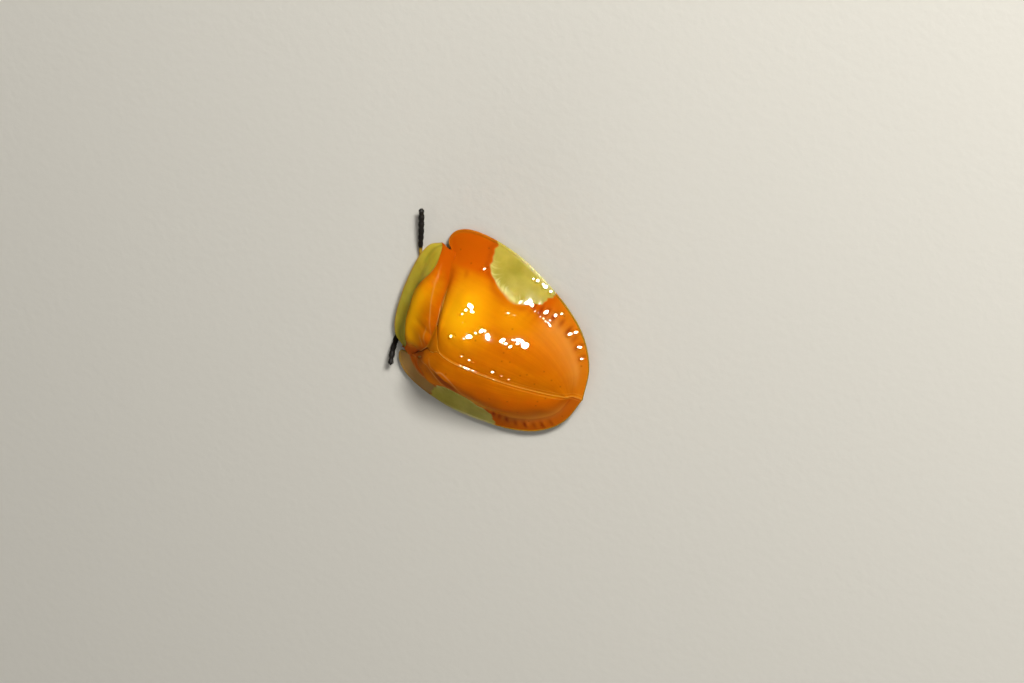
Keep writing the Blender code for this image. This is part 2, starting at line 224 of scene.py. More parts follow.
# %% Smooth lines and soft steps
def smooth_line(points):
    """A smooth line through a few points, as a function of shares from 0 to 1 of its length."""
    control = np.array(points, float)
    padded = np.vstack([2 * control[0] - control[1], control, 2 * control[-1] - control[-2]])
    t = np.linspace(0, 1, 24, endpoint=False)[:, None]
    parts = []
    for a, b, c, d in zip(padded, padded[1:], padded[2:], padded[3:]):
        parts.append(0.5 * (2 * b + (c - a) * t + (2 * a - 5 * b + 4 * c - d) * t ** 2
                            + (3 * b - 3 * c + d - a) * t ** 3))
    fine = np.vstack(parts + [control[-1:]])
    steps = np.linalg.norm(np.diff(fine, axis=0), axis=1)
    lengths = np.concatenate([[0], np.cumsum(steps)]) / steps.sum()
    return lambda share: np.stack([np.interp(share, lengths, fine[:, k]) for k in range(fine.shape[1])], -1)


def table_of(points):
    """The columns of a smooth line, for reading the second by the first with np.interp."""
    return smooth_line(points)(np.linspace(0, 1, 200)).T


def step(value, start, end):
    """0 before start, 1 after end, and a smooth rise between them."""
    t = np.clip((value - start) / (end - start), 0, 1)
    return t * t * (3 - 2 * t)


def hill(value, centre, width):
    """1 at the centre, and nearly 0 from about two widths away."""
    return np.exp(-((value - centre) / width) ** 2)


print("a hill at none, one and two widths:", hill(np.arange(3), 0, 1).round(2))


# %% Directions on a grid
def unit(vectors):
    """The vectors at a length of 1."""
    return vectors / np.maximum(np.linalg.norm(vectors, axis=-1, keepdims=True), 1e-9)


def outward(grid):
    """The unit normals of a grid of points, on the side that looks up."""
    normal = unit(np.cross(np.gradient(grid, axis=0), np.gradient(grid, axis=1)))
    return normal * np.where(normal[..., 2:] < 0, -1, 1)


print("a vector of 3, 4 and 0 at a length of 1:", unit(np.array((3, 4, 0))))


# %% Pieces and sheets
def piece(name, points, faces, finish, numbers=None):
    """An object from points in mm in the drawing's frame, riding on the body, and its numbers."""
    mesh = bpy.data.meshes.new(name)
    mesh.from_pydata(((np.asarray(points, float) + (0, zero_y, 0)) * MM).tolist(), [], faces)
    for key, values in (numbers or {}).items():
        carried = mesh.attributes.new(key, "FLOAT", "POINT").data
        carried.foreach_set("value", np.ravel(values).astype(np.float32))
    mesh.materials.append(finish)
    mesh.shade_smooth()
    obj = bpy.data.objects.new(name, mesh)
    bpy.context.scene.collection.objects.link(obj)
    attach(obj, "root")
    print(name, len(mesh.vertices), "points")
    return obj


def sheet_between(top, bottom):
    """Points and faces of the closed sheet between two grids of the same shape."""
    rows, columns = top.shape[:2]
    index = np.arange(rows * columns).reshape(rows, columns)
    quads = np.stack([index[:-1, :-1], index[1:, :-1], index[1:, 1:], index[:-1, 1:]], -1).reshape(-1, 4)
    border = np.concatenate([index[:, 0], index[-1, 1:], index[-2::-1, -1], index[0, -2:0:-1]])
    after = np.roll(border, -1)
    under = rows * columns
    strip = np.stack([border, border + under, after + under, after], -1)
    middle = quads[len(quads) // 2]
    flat = top.reshape(-1, 3)
    looks_up = np.cross(flat[middle[2]] - flat[middle[0]], flat[middle[3]] - flat[middle[1]])[2] > 0
    faces = np.concatenate([quads, quads[:, ::-1] + under, strip])
    if not looks_up:
        faces = faces[:, ::-1]
    return np.concatenate([flat, bottom.reshape(-1, 3)]), faces.tolist()


def sheet_piece(name, top, bottom, finish, numbers):
    """The closed sheet between two grids. Both of its faces carry the numbers of the top."""
    points, faces = sheet_between(top, bottom)
    both = {key: np.concatenate([np.ravel(values)] * 2) for key, values in numbers.items()}
    return piece(name, points, faces, finish, both)


# %% [markdown]
# ## The wing cases
# Each wing case has a domed part, the disc, over the body, and a broad thin margin that comes down
# close to the floor. The drawing below gives four lines, seam, crown height, edge of the disc and
# rim, and the sheet runs from line to line. A grid suits it, because every later detail can then be
# placed by two shares: across, from the seam to the rim, and along, from front to back.

# %% The four lines of a wing case
SEAM = 0.004                  # mm from the middle line to a case, so that the two meet in a hair line
CROWN = [(3.9, 4.05), (4.7, 4.62), (5.5, 4.88), (6.6, 4.72), (8.9, 3.82), (11.0, 2.55), (12.3, 1.5),
         (13.0, 0.92)]        # the seam's distance back and height
SEAM_LINE = [(0.74, 4.0), (0.4, 4.52), (SEAM, 5.0), (SEAM, 7.2), (SEAM, 9.5), (SEAM, 12.1)]
DISC_EDGE = [(3.5, 2.6, 1.4), (3.84, 3.8, 1.45), (4.0, 5.2, 1.5), (3.95, 6.9, 1.5), (3.82, 8.3, 1.45),
             (3.4, 9.8, 1.35), (2.65, 11.0, 1.28), (1.55, 11.95, 1.22), (SEAM, 12.35, 1.2)]
RIM = [(4.0, 2.0, 0.88), (4.3, 1.57, 0.6), (4.93, 1.7, 0.5), (5.47, 2.28, 0.48), (5.8, 3.25, 0.48),
       (5.93, 4.6, 0.5), (5.84, 6.2, 0.54), (5.38, 8.0, 0.6), (4.7, 9.84, 0.68), (3.64, 11.42, 0.76),
       (2.05, 12.54, 0.86), (SEAM, 13.0, 0.92)]
DOME_POWER = 1.3
PLATE_BACK = [(0.0, 4.1, 3.86), (0.75, 3.96, 3.74), (1.8, 3.5, 3.08), (2.8, 3.0, 1.97), (4.0, 2.42, 0.98)]
crown_of = table_of(CROWN)
seam_line, disc_edge, rim_line = smooth_line(SEAM_LINE), smooth_line(DISC_EDGE), smooth_line(RIM)
plate_back = smooth_line(PLATE_BACK)    # the hind edge of the pronotum, which the cases come down to
print("crown", max(height for _, height in CROWN), "mm high")
print("rim", max(x for x, _, _ in RIM), "mm from the middle")

# %% The plain sheet of a case
CASE_ROWS, DISC_COLUMNS, MARGIN_COLUMNS = 420, 170, 96
BASE_STEP = 0.07              # mm that the edge of a case stands over the pronotum
BASE_ROLL = 0.34              # mm in which it rises to the disc


def case_surface(across, along):
    """The plain top of a wing case. across is 0 at the seam, 1 at the disc's edge and 2 at the rim.
    It is one row for the whole case, or a row for each step along it."""
    inner, edge, outer = (line(along)[:, None] for line in (seam_line, disc_edge, rim_line))
    u = np.broadcast_to(across, (len(along), np.shape(across)[-1]))[..., None]
    within = np.minimum(u, 1)
    spot = inner + (edge[..., :2] - inner) * within
    crown = np.interp(inner[..., 1], *crown_of)[..., None]
    height = edge[..., 2:] + (crown - edge[..., 2:]) * np.cos(math.pi / 2 * within ** DOME_POWER)
    disc = np.concatenate([spot, height], axis=2)
    return np.where(u <= 1, disc, edge + (outer - edge) * (u - 1))


def softened(grid, weight, reach):
    """Rounds a crease that runs along the columns, over reach columns each way and by the weight there."""
    kernel = hill(np.arange(-reach, reach + 1), 0, reach / 1.6)
    kernel /= kernel.sum()
    padded = np.pad(grid, ((0, 0), (reach, reach), (0, 0)), mode="reflect", reflect_type="odd")
    soft = sum(k * padded[:, i:i + grid.shape[1]] for i, k in enumerate(kernel))
    return grid + (soft - grid) * weight[..., None]


def brought_down(grid):
    """Rolls the front edge of a case down to the hind edge of the pronotum."""
    back = plate_back(np.linspace(0, 1, 200))
    drop = grid[0, :, 2] - np.interp(grid[0, :, 0], back[:, 0], back[:, 2]) - BASE_STEP
    travelled = np.cumsum(np.linalg.norm(np.diff(grid, axis=0, prepend=grid[:1]), axis=2), axis=0)
    rolled = grid.copy()
    rolled[..., 2] -= np.maximum(drop, 0) * np.exp(-(travelled / BASE_ROLL) ** 1.6)
    return rolled


def plain_case(u, v):
    """The sheet with a round shoulder at the edge of the disc, the rounder at its front and rear."""
    every_u, every_v = np.meshgrid(u, v)
    grid = brought_down(case_surface(u, v))
    grid = softened(grid, hill(every_u, 1.0, 0.14), 14)
    ends = step(every_v, 0.3, 0.1) + step(every_v, 0.5, 0.7)
    return softened(grid, hill(every_u, 1.0, 0.3) * ends, 30)


print("each case has", CASE_ROWS, "rows of", DISC_COLUMNS + MARGIN_COLUMNS + 1, "points")

# %% [markdown]
# ## Relief of a wing case
# The real surface isn't plain. It has a raised, beaded seam, rows of pits finer than a hair, slow
# dimples and swellings, and short ridges that run from the disc out onto the margin. A bump in the
# finish could feign them, but only real shape bends the gloss and the outline. So each is a height
# that is added to the grid along its own normals.

# %% Rows of pits
PIT_ROWS = 10
FIRST_ROW, ROW_STEP = 0.085, 0.094      # across
PIT_SPACING = 0.31            # mm from pit to pit along a row
ROW_SHIFT = 0.41              # of that spacing, from one row to the next
PIT_RADIUS, PIT_DEPTH = 0.036, 0.006    # mm
PIT_PLACES = 400              # more than the longest row has


def pits(u, across_mm, along_mm):
    """Depth of the pits in rows along a case. across_mm is the size of one unit of u."""
    depth = np.zeros_like(across_mm)
    for row in range(PIT_ROWS):
        phase = along_mm / PIT_SPACING + row * ROW_SHIFT
        nearest = np.round(phase).astype(int)
        shift = dice.uniform(-0.35, 0.35, PIT_PLACES)[nearest]
        size = dice.uniform(-0.3, 1.2, PIT_PLACES).clip(0)[nearest]
        beside = (u - FIRST_ROW - row * ROW_STEP) * across_mm
        away = np.hypot(beside, (phase - nearest - shift) * PIT_SPACING)
        depth += size * PIT_DEPTH * hill(away, 0, PIT_RADIUS)
    return depth


print(PIT_ROWS, "rows of pits,", PIT_SPACING, "mm from pit to pit")

# %% The clear window
WINDOW_ACROSS, WINDOW_ALONG = 1.5, 0.345     # its middle
HALF_ACROSS, HALF_ALONG = 0.55, 0.145
WINDOW_LEAN = 0.06            # along, by which its outer end lies further back
WINDOW_ROUNDNESS = 2.4        # 2 is an oval, and more is squarer
WINDOW_HALF_MM = 1.4          # mm from its edge to its middle


def window_place(u, v):
    """Where a point lies from the middle of the window, in shares of its half width and half length."""
    middle = WINDOW_ALONG + WINDOW_LEAN * np.clip((u - 1.05) / 0.85, 0, 1)
    return (u - WINDOW_ACROSS) / HALF_ACROSS, (v - middle) / HALF_ALONG


def into_window(u, v):
    """Roughly how far a point lies inside the clear window, in mm, and less than 0 outside it."""
    outward_share, along_share = window_place(u, v)
    powers = np.abs(outward_share.clip(max=0)) ** WINDOW_ROUNDNESS + np.abs(along_share) ** WINDOW_ROUNDNESS
    ragged = 0.025 * np.sin(13 * u + 17 * v) + 0.02 * np.sin(31 * u - 40 * v)
    return WINDOW_HALF_MM * (1 - powers ** (1 / WINDOW_ROUNDNESS)) + ragged


def wisps(u, v):
    """Fine strokes, from 0 to 1, that run inwards from the edge of the window."""
    outward_share, along_share = window_place(u, v)
    angle = np.arctan2(along_share, -outward_share)
    bent = angle + 0.25 * np.sin(7 * u) + 0.2 * np.sin(45 * v)
    waves = sum(np.sin(pace * bent + start) for pace, start in ((7, 0.3), (13, 1.9), (23, 4.0), (41, 2.2)))
    return np.clip(0.4 + 0.27 * waves, 0, 1)


print("the window fills", 2 * HALF_ALONG, "of a case's length")

# %% Swellings and short ridges
SWELLINGS = [(0.74, 0.17, 0.33, 0.72), (0.35, 0.205, 0.07, 0.28), (0.37, 0.255, 0.12, 0.45),
             (0.57, 0.3, 0.03, 0.4), (0.6, 0.345, 0.03, 0.3), (0.51, 0.505, 0.06, 0.5),
             (0.64, 0.605, 0.08, 0.55), (1.02, 0.425, 0.07, 0.35)]    # across, along, mm high and wide
RIDGES = [(1.14, 0.492, 0.6), (1.18, 0.53, 1.0), (1.25, 0.562, 0.7), (1.3, 0.6, 1.0),
          (1.42, 0.645, 0.7), (1.48, 0.69, 1.0), (1.56, 0.735, 0.6), (1.6, 0.775, 0.9),
          (1.62, 0.82, 0.6)]            # across, along, and its share of the height
RIDGE_HEIGHT, RIDGE_REACH, RIDGE_WIDTH = 0.06, 0.33, 0.13      # mm


def swelling(grid, u, v, across, along, height, radius):
    """The height of a low round swelling with its middle there."""
    centre = grid[np.abs(v[:, 0] - along).argmin(), np.abs(u[0] - across).argmin()]
    return height * np.exp(-((grid - centre) ** 2).sum(-1) / radius ** 2)


def short_ridges(grid, u, v, shift=0.0):
    """1 along the crests of the short ridges on the margin. shift in mm moves them forward."""
    margin_mm = np.linalg.norm(grid[:, -1] - grid[:, DISC_COLUMNS], axis=1)[:, None]
    length_mm = np.linalg.norm(np.diff(grid, axis=0), axis=2).sum(axis=0)
    crest = np.zeros_like(u)
    for across, along, strength in RIDGES:
        outwards = (u - across) * margin_mm
        backwards = (v - along) * length_mm + shift - 0.12 * outwards
        ridge = strength * hill(outwards, 0, RIDGE_REACH) * hill(backwards, 0, RIDGE_WIDTH)
        crest = np.maximum(crest, ridge)
    return crest


print(len(SWELLINGS), "swellings and", len(RIDGES), "ridges on each case")

# %% [markdown]
# ## Glints and creases
# A flash makes a white glint wherever a wet surface lies exactly half-way between it and the camera.
# On a dome that is one round spot, but the real shell is uneven and has some forty. Chance dimples
# would put them anywhere, so the right case gets small flat spots at chosen places, each turned to
# the half-way direction. The left case turns away from the flash. It has three pale creases and a
# hollow between two of them, drawn as smooth lines seen from above; the hollow is painted dark red
# as shade. The pronotum has three more creases.

# %% Flat spots that mirror the flash
GLEAMS = [(0.71, 0.212, 0.22), (0.66, 0.2, 0.13), (0.618, 0.19, 0.1), (0.69, 0.24, 0.08),
          (0.55, 0.218, 0.07), (0.342, 0.192, 0.13), (0.36, 0.21, 0.06), (0.41, 0.272, 0.15),
          (0.45, 0.29, 0.16), (0.52, 0.309, 0.09), (0.568, 0.331, 0.12), (0.568, 0.371, 0.07),
          (0.588, 0.455, 0.14), (0.568, 0.511, 0.11), (0.65, 0.497, 0.06), (0.64, 0.53, 0.08),
          (0.673, 0.571, 0.22), (1.0, 0.409, 0.16), (1.07, 0.439, 0.2), (1.1, 0.461, 0.1),
          (0.85, 0.387, 0.1), (0.86, 0.421, 0.09), (1.2, 0.188, 0.12), (1.22, 0.541, 0.16),
          (1.41, 0.591, 0.13), (1.64, 0.611, 0.08), (1.11, 0.575, 0.07), (1.47, 0.693, 0.16),
          (1.73, 0.707, 0.12), (1.62, 0.764, 0.15), (1.6, 0.816, 0.12), (1.76, 0.44, 0.08),
          (1.81, 0.46, 0.12), (1.86, 0.487, 0.09), (1.875, 0.502, 0.14), (1.9, 0.53, 0.11),
          (0.17, 0.305, 0.08), (0.16, 0.357, 0.08), (0.15, 0.385, 0.06), (0.125, 0.521, 0.09),
          (0.12, 0.583, 0.07), (0.1, 0.633, 0.08)]      # across, along, mm of radius
GLEAM_WAY, GLEAM_STRETCH = np.array((0.63, 0.52, -0.57)), 0.7    # longer down the slope of the dome
half_way = np.array((TO_CAMERA + Vector(FLASH_WAY).normalized()).normalized()) * (-1, 1, 1)


def with_gleams(grid, u, v):
    """The grid of a case, before it is mirrored to the right, with its flat spots."""
    for across, along, radius in GLEAMS:
        i, j = np.abs(v - along).argmin(), np.abs(u - across).argmin()
        normal = outward(grid[i - 1:i + 2, j - 1:j + 2])[1, 1]
        offset = grid - grid[i, j]
        away = (offset ** 2).sum(-1) - GLEAM_STRETCH * (offset @ GLEAM_WAY) ** 2
        height = -(offset @ half_way) / (normal @ half_way) * np.exp(-(away / radius ** 2) ** 2)
        grid = grid + normal * height[..., None]
    return grid


print(len(GLEAMS), "flat spots, each turned to", half_way.round(2))

# %% Creases
FOLDS = [[(1.8, 3.7), (1.6, 4.3), (1.78, 4.8), (2.2, 5.4), (2.7, 5.9), (2.5, 6.5)],
         [(0.8, 4.4), (1.3, 4.62), (1.46, 4.8), (1.4, 5.15), (1.17, 5.5), (1.23, 5.9), (1.54, 6.25),
          (2.54, 7.0)],
         [(4.1, 2.7), (4.7, 3.1), (4.83, 3.5), (4.58, 3.9), (4.4, 4.3)]]      # mm to the side and back
FOLD_WIDTH, FOLD_HEIGHT = 0.05, 0.01              # mm
# A hollow of the left case, which is also painted dark red as shade.
SHADED_HOLLOW = [(1.55, 5.0), (1.7, 5.3), (1.98, 5.75), (2.3, 6.25), (2.5, 6.6)]
SHADED_HOLLOW_REACH, SHADED_HOLLOW_DEPTH = 0.4, 0.04    # mm


def creased(grid, routes, width):
    """1 along smooth lines as they are seen from above, fading out towards their ends."""
    share = np.linspace(0.02, 0.98, 80)
    crest = np.zeros(grid.shape[:2])
    for route in routes:
        for spot, fade in zip(smooth_line(route)(share), np.sin(math.pi * share) ** 0.6):
            away = np.hypot(grid[..., 0] - spot[0], grid[..., 1] - spot[1])
            crest = np.maximum(crest, fade * hill(away, 0, width))
    return crest


print(len(FOLDS), "creases on the left case")

# %% The whole relief
SEAM_START = 5.1              # mm back, where the two cases meet
DIMPLES = ((0.020, 2.3, 1.5, 0.4), (0.012, 3.4, -2.6, 1.9), (0.005, 2.1, 5.2, 0.0))  # mm, and per mm


def from_seam(grid, u, across_mm):
    """How far each point is from the inner edge of its case, in mm."""
    return np.where(grid[..., 1] > SEAM_START, grid[..., 0], u * across_mm)


def case_relief(grid, u, v):
    """Height of the fine shapes over the plain sheet, in mm."""
    along_mm = np.cumsum(np.linalg.norm(np.diff(grid, axis=0, prepend=grid[:1]), axis=2), axis=0)
    across_mm = np.linalg.norm(grid[:, DISC_COLUMNS] - grid[:, 0], axis=1)[:, None] + 0 * u
    pitted = pits(u, across_mm, along_mm) * step(u, 1.02, 0.98) * step(across_mm, 0.8, 1.8)
    seam_mm = from_seam(grid, u, across_mm)
    beads = 1 + 0.4 * np.sin(11 * along_mm) + 0.3 * np.sin(23 * along_mm)
    bead = (0.03 + 0.02 * hill(v, 0.4, 0.14)) * hill(seam_mm, 0.035, 0.04) * (0.6 + 0.4 * beads)
    bead = bead - 0.006 * hill(seam_mm, 0.13, 0.05)
    line = 0.01 * hill(seam_mm, 0.2, 0.03) * step(v, 0.5, 0.7)
    dimples = sum(height * np.sin(a * grid[..., 0] + b * grid[..., 1] + c) for height, a, b, c in DIMPLES)
    dimples = dimples * step(u, 0.06, 0.3) * step(u, 1.2, 0.85)
    swellings = sum(swelling(grid, u, v, *place) for place in SWELLINGS)
    hollow = -0.05 * hill(np.hypot((u - 0.5) * 3.2, (v - 0.08) * 9.0), 0, 0.5)
    ridges = RIDGE_HEIGHT * short_ridges(grid, u, v)
    crinkles = 0.004 * wisps(u, v) * hill(into_window(u, v), 0.15, 0.2) * step(v, 0.5, 0.44)
    rim = 0.04 * hill(u, 1.965, 0.03) * (1 + (beads - 1) * hill(v, 0.48, 0.12))
    rim = rim - 0.05 * hill(u, 1.5, 0.3) * step(v, 0.6, 0.45)
    return bead + line + dimples + swellings + hollow + ridges + crinkles + rim - pitted


print("dimples up to", max(height for height, *_ in DIMPLES), "mm")

# %% Where a case is clear, deep or pale, and where light and shade are painted on it
SPECKS, SPECK_RADIUS = 26, 0.05         # small brown flecks on each case, and mm


def flecks(grid, u, v):
    """1 at the middle of each small brown fleck."""
    places = dice.uniform((0.1, 0.05), (1.8, 0.9), (SPECKS, 2))
    return sum(swelling(grid, u, v, across, along, 1.0, SPECK_RADIUS) for across, along in places).clip(0, 1)


def case_numbers(grid, u, v, left, folded, sunk):
    """The shares that the finish reads, each from 0 to 1. left is 1 on the left case and 0 on the right."""
    depth = into_window(u, v)
    strokes = wisps(u, v)
    seam_mm = from_seam(grid, u, 4)
    front_edge = step(v, 0.5, 0.42)
    rear = step(v, 0.52, 0.66)
    # Painted light: lighter yellow on the front of the disc and beside the window, and less of it on the
    # left case, which lies in shade.
    lit_front = hill(np.hypot((u - 0.6) * 1.2, (v - 0.19) * 2.8), 0, 0.42) * step(v, 0.0, 0.06)
    lit_side = 0.4 * hill(np.hypot((u - 0.82) * 2.6, (v - 0.42) * 4.0), 0, 0.5)
    # Painted highlight: pale glints in streaks along the front and inner edges of the window.
    painted_edge_glints = step(depth, 0.12 + 0.5 * strokes, 0.03) * front_edge * step(u, 1.75, 1.2)
    corner = 0.75 * step(v, 0.10, 0.0) * step(u, 0.5, 0.8)
    # Painted shade: the disc of the left case is a deeper orange, as that side lies in shade.
    painted_left_flank_shade = 0.6 * left * step(u, 0.1, 0.4)
    second_line = 0.3 * hill(seam_mm, 0.2, 0.03) * step(v, 0.5, 0.7)
    return {
        "clear": step(depth, -0.05, 0.06),
        "painted_edge_glints": (0.35 + 0.65 * strokes) * painted_edge_glints,
        # Painted shade, darker red-brown: a band just outside the front of the window, a small patch at the
        # front of the disc's edge, and the rear margin of the left case.
        "painted_shade": (0.5 * hill(depth, -0.15, 0.12) * front_edge * step(u, 0.85, 0.95)
                 + 0.4 * hill(np.hypot((u - 0.97) * 9, (v - 0.1) * 40), 0, 0.5)
                 + 0.6 * left * step(u, 0.98, 1.12) * step(v, 0.5, 0.6)),
        # Painted highlight: pale glints along the rim beside the window.
        "painted_rim_glints": 0.8 * step(u, 1.86, 1.95) * hill(v, 0.45, 0.1),
        "deep": np.maximum(step(u, 0.9, 1.15) * (1 - rear), corner + painted_left_flank_shade).clip(0, 1),
        "rear_margin": step(u, 1.0, 1.6) * rear,
        "yellow_and_painted_light": np.maximum(lit_front * (1 - 0.6 * left), lit_side),
        "pale": 0.85 * hill(u, 1.12, 0.26) * step(v, 0.5, 0.62) * step(v, 1.0, 0.85),
        # Painted shade: dark red streaks beside the short ridges, where their shadows fall.
        "painted_ridge_shadows": 0.8 * short_ridges(grid, u, v, 0.16) * step(v, 0.9, 0.8),
        "seam_line": 0.7 * hill(seam_mm, 0.02, 0.03) + second_line,
        "fold_line": 0.55 * folded,
        # Painted shade: dark red in the hollow of the left case.
        "painted_hollow_shade": 0.65 * sunk,
        "speck": 0.5 * flecks(grid, u, v),
        # Painted shade: the front lobe of the left case is greyer, as it lies in shade, while the right lobe
        # stays orange.
        "painted_shade_left_lobe": 0.8 * left * step(u, 1.42, 1.54) * step(v, 0.3, 0.24),
        "thin_rim": step(u, 1.88, 1.97) * (0.35 + 0.65 * step(v, 0.5, 0.62)),
        "across": u, "along": v}


print(SPECKS, "flecks on each case")

# %% [markdown]
# ## Amber horn
# The colour of this beetle sits under the clear outer skin, like the layers of a boiled sweet. The
# base colour carries the orange layer, with a little light let in under the surface, and the coat is
# the clear skin over it. Where the orange layer ends, the horn is a clear olive-yellow window.
# The finish reads the numbers of the mesh, so its markings stay on the shell in every view.

# %% The finish of the shield
STREAK_SIZE = (18 * MM, 2.2 * MM, 0)    # turns the two shares into long fine streaks
LET_THROUGH = 0.35                      # of the light, where the horn is clear


def amber_horn(name, shares, clear_colours):
    """Clear horn over an orange layer. shares lists the mesh's numbers and the colour each brings in."""
    material, tree, shader = new_finish(name, {
        "Roughness": 0.3, "IOR": 1.55, "Specular IOR Level": 0.0, "Subsurface Weight": 0.3,
        "Subsurface Radius": (1.0, 0.42, 0.08), "Subsurface Scale": 0.35 * MM, "Coat Weight": 0.6,
        "Coat Roughness": 0.05, "Coat IOR": 1.45})
    streak = add(tree, "ShaderNodeCombineXYZ", links={"X": mask(tree, "across"), "Y": mask(tree, "along")})
    stretched = add(tree, "ShaderNodeVectorMath", {"operation": "MULTIPLY", 1: STREAK_SIZE},
                    {0: streak.outputs[0]}).outputs[0]
    shade = mixed(tree, spots(tree, 1.6, 0.0, 1.0), "#CB6C02", "#DA7A04")
    shade = mixed(tree, spots(tree, 0.9, 0.0, 0.5, stretched), shade, "#BD5C02")
    for share, tint in shares:
        shade = mixed(tree, mask(tree, share), shade, tint)
    window = mixed(tree, spots(tree, 1.1, 0.0, 1.0), *clear_colours)
    # Painted highlights along the window's edges and rim, and painted shade on the pronotum's clear border.
    for share, tint in (("painted_edge_glints", "#F2E68A"), ("shadow", "#8A7A18"), ("painted_rim_glints", "#FFF6B4")):
        window = mixed(tree, mask(tree, share), window, tint)
    shade = mixed(tree, mask(tree, "clear"), shade, window)
    # Painted highlight along the step to the pronotum's clear border, and a pale line along its front rim.
    shade = mixed(tree, mask(tree, "painted_edge_highlight_and_rim"), shade, "#D89850")
    tree.links.new(shade, shader.inputs["Base Color"])
    clear = add(tree, "ShaderNodeMath", {"operation": "MULTIPLY", 1: LET_THROUGH}, {0: mask(tree, "clear")})
    tree.links.new(clear.outputs[0], shader.inputs["Transmission Weight"])
    bumped(tree, shader, spots(tree, 0.5, 0.0, 1.0), 0.004)
    print(name, "with", len(shares), "markings")
    return material


# Painted light and shade among these tints: the yellow light, the shade on the left case, beside the ridges
# and in the hollow, and the greyer left lobe.
shell_finish = amber_horn("amber_horn_shell", (
    ("yellow_and_painted_light", "#F6AC0A"), ("deep", "#D05E02"), ("rear_margin", "#D87A10"), ("pale", "#E08E34"),
    ("painted_shade", "#B04A08"), ("painted_ridge_shadows", "#942C06"), ("painted_hollow_shade", "#7C2606"),
    ("painted_shade_left_lobe", "#A89058"), ("fold_line", "#DFA05A"), ("speck", "#6E2C06"),
    ("seam_line", "#F0A23A"), ("thin_rim", "#A08420")), ("#C0B23A", "#DCCB56"))

# %% Both wing cases
CASE_THICK, RIM_THICK = 0.16, 0.07    # mm, as thin as the real shell


def wing_case(name, node, side):
    u = np.concatenate([np.linspace(0, 1, DISC_COLUMNS + 1) ** 1.25,
                        2 - (1 - np.linspace(0, 1, MARGIN_COLUMNS + 1)[1:]) ** 1.4])
    v = np.linspace(0, 1, CASE_ROWS) ** 1.15
    every_u, every_v = np.meshgrid(u, v)
    plain = plain_case(u, v)
    normal = outward(plain)
    left = float(side > 0)
    folded = left * creased(plain, FOLDS, FOLD_WIDTH)
    sunk = left * step(creased(plain, [SHADED_HOLLOW], SHADED_HOLLOW_REACH), 0.15, 0.8)
    relief = case_relief(plain, every_u, every_v) + FOLD_HEIGHT * folded - SHADED_HOLLOW_DEPTH * sunk
    top = plain + normal * relief[..., None]
    if side < 0:
        top = with_gleams(top, u, v)
    thickness = np.interp(every_u, (0, 1.6, 2), (CASE_THICK, CASE_THICK, RIM_THICK))
    bottom = plain - normal * thickness[..., None]
    for grid in (top, bottom):
        grid[..., 0] = np.maximum(grid[..., 0], SEAM) * side
    numbers = case_numbers(plain, every_u, every_v, left, folded, sunk)
    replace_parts(sheet_piece(name, top, bottom, shell_finish, numbers), node)


wing_case("wing_case_left", "elytron_left", 1)
wing_case("wing_case_right", "elytron_right", -1)


# %% [markdown]
# ## The pronotum
# The plate in front covers the head. Its middle is the same orange as the wing cases, with a bright
# yellow ridge along its brow, partly its own yellow and partly a painted highlight. Its front and side
# borders are clear. Painted shade lies on them: dark spots over the eyes below, a band just inside the
# step down to the border, and arcs in the corners, and a painted highlight runs along that step. It is
# built as one sheet between its hind edge and its front edge, and it is turned a little to the beetle's
# right, as the living one holds it.

# %% Lines and surface of the pronotum
PLATE_FRONT = [(0.0, 0.3, 1.05), (1.5, 0.36, 1.0), (2.6, 0.5, 0.88), (3.42, 0.8, 0.72), (3.9, 1.4, 0.62)]
PLATE_FALL = [(0.0, 0.0), (0.25, 0.08), (0.5, 0.29), (0.66, 0.56), (0.76, 0.78), (0.84, 0.88),
              (1.0, 1.0)]     # share of the way to the front edge, and of the drop to it
PLATE_TURN = math.radians(2.5)
PLATE_PIVOT_Y = 2.5           # mm
plate_front, fall_of = smooth_line(PLATE_FRONT), table_of(PLATE_FALL)


def plate_surface(across, along):
    """The plain top of the pronotum. across runs from -1 to 1, and along is 0 at the hind edge."""
    side = np.where(across < 0, -1, 1)[None, :]
    back, front = plate_back(np.abs(across))[None], plate_front(np.abs(across))[None]
    t = along[:, None]
    fall = np.interp(t, *fall_of)
    x = side * (back[..., 0] + (front[..., 0] - back[..., 0]) * t)
    y = back[..., 1] + (front[..., 1] - back[..., 1]) * t
    return np.stack([x, y, back[..., 2] + (front[..., 2] - back[..., 2]) * fall], -1)


def turned(grid, along):
    """Points turned with the front of the pronotum, whose hind edge stays on the wing cases."""
    x, y = grid[..., 0], grid[..., 1] - PLATE_PIVOT_Y
    angle = PLATE_TURN * step(along, 0.0, 0.35)
    cos, sin = np.cos(angle), np.sin(angle)
    return np.stack([x * cos - y * sin, x * sin + y * cos + PLATE_PIVOT_Y, grid[..., 2]], -1)


print("the pronotum is", 2 * PLATE_FRONT[-1][0], "mm wide in front")

# %% Its relief and its markings
CLEAR_BORDER = [(0.0, 0.72), (0.17, 0.73), (0.38, 0.63), (0.6, 0.5), (0.78, 0.47), (0.92, 0.62),
                (1.0, 0.98)]            # share across, and share along where the border begins
WIDER_ON_LEFT = 0.11                    # along
border_of = table_of(CLEAR_BORDER)


def border_at(w):
    """Where the clear border begins along the plate, at each share w from -1 to 1 across it."""
    return np.interp(np.abs(w), *border_of) - WIDER_ON_LEFT * hill(w, 0.33, 0.22)


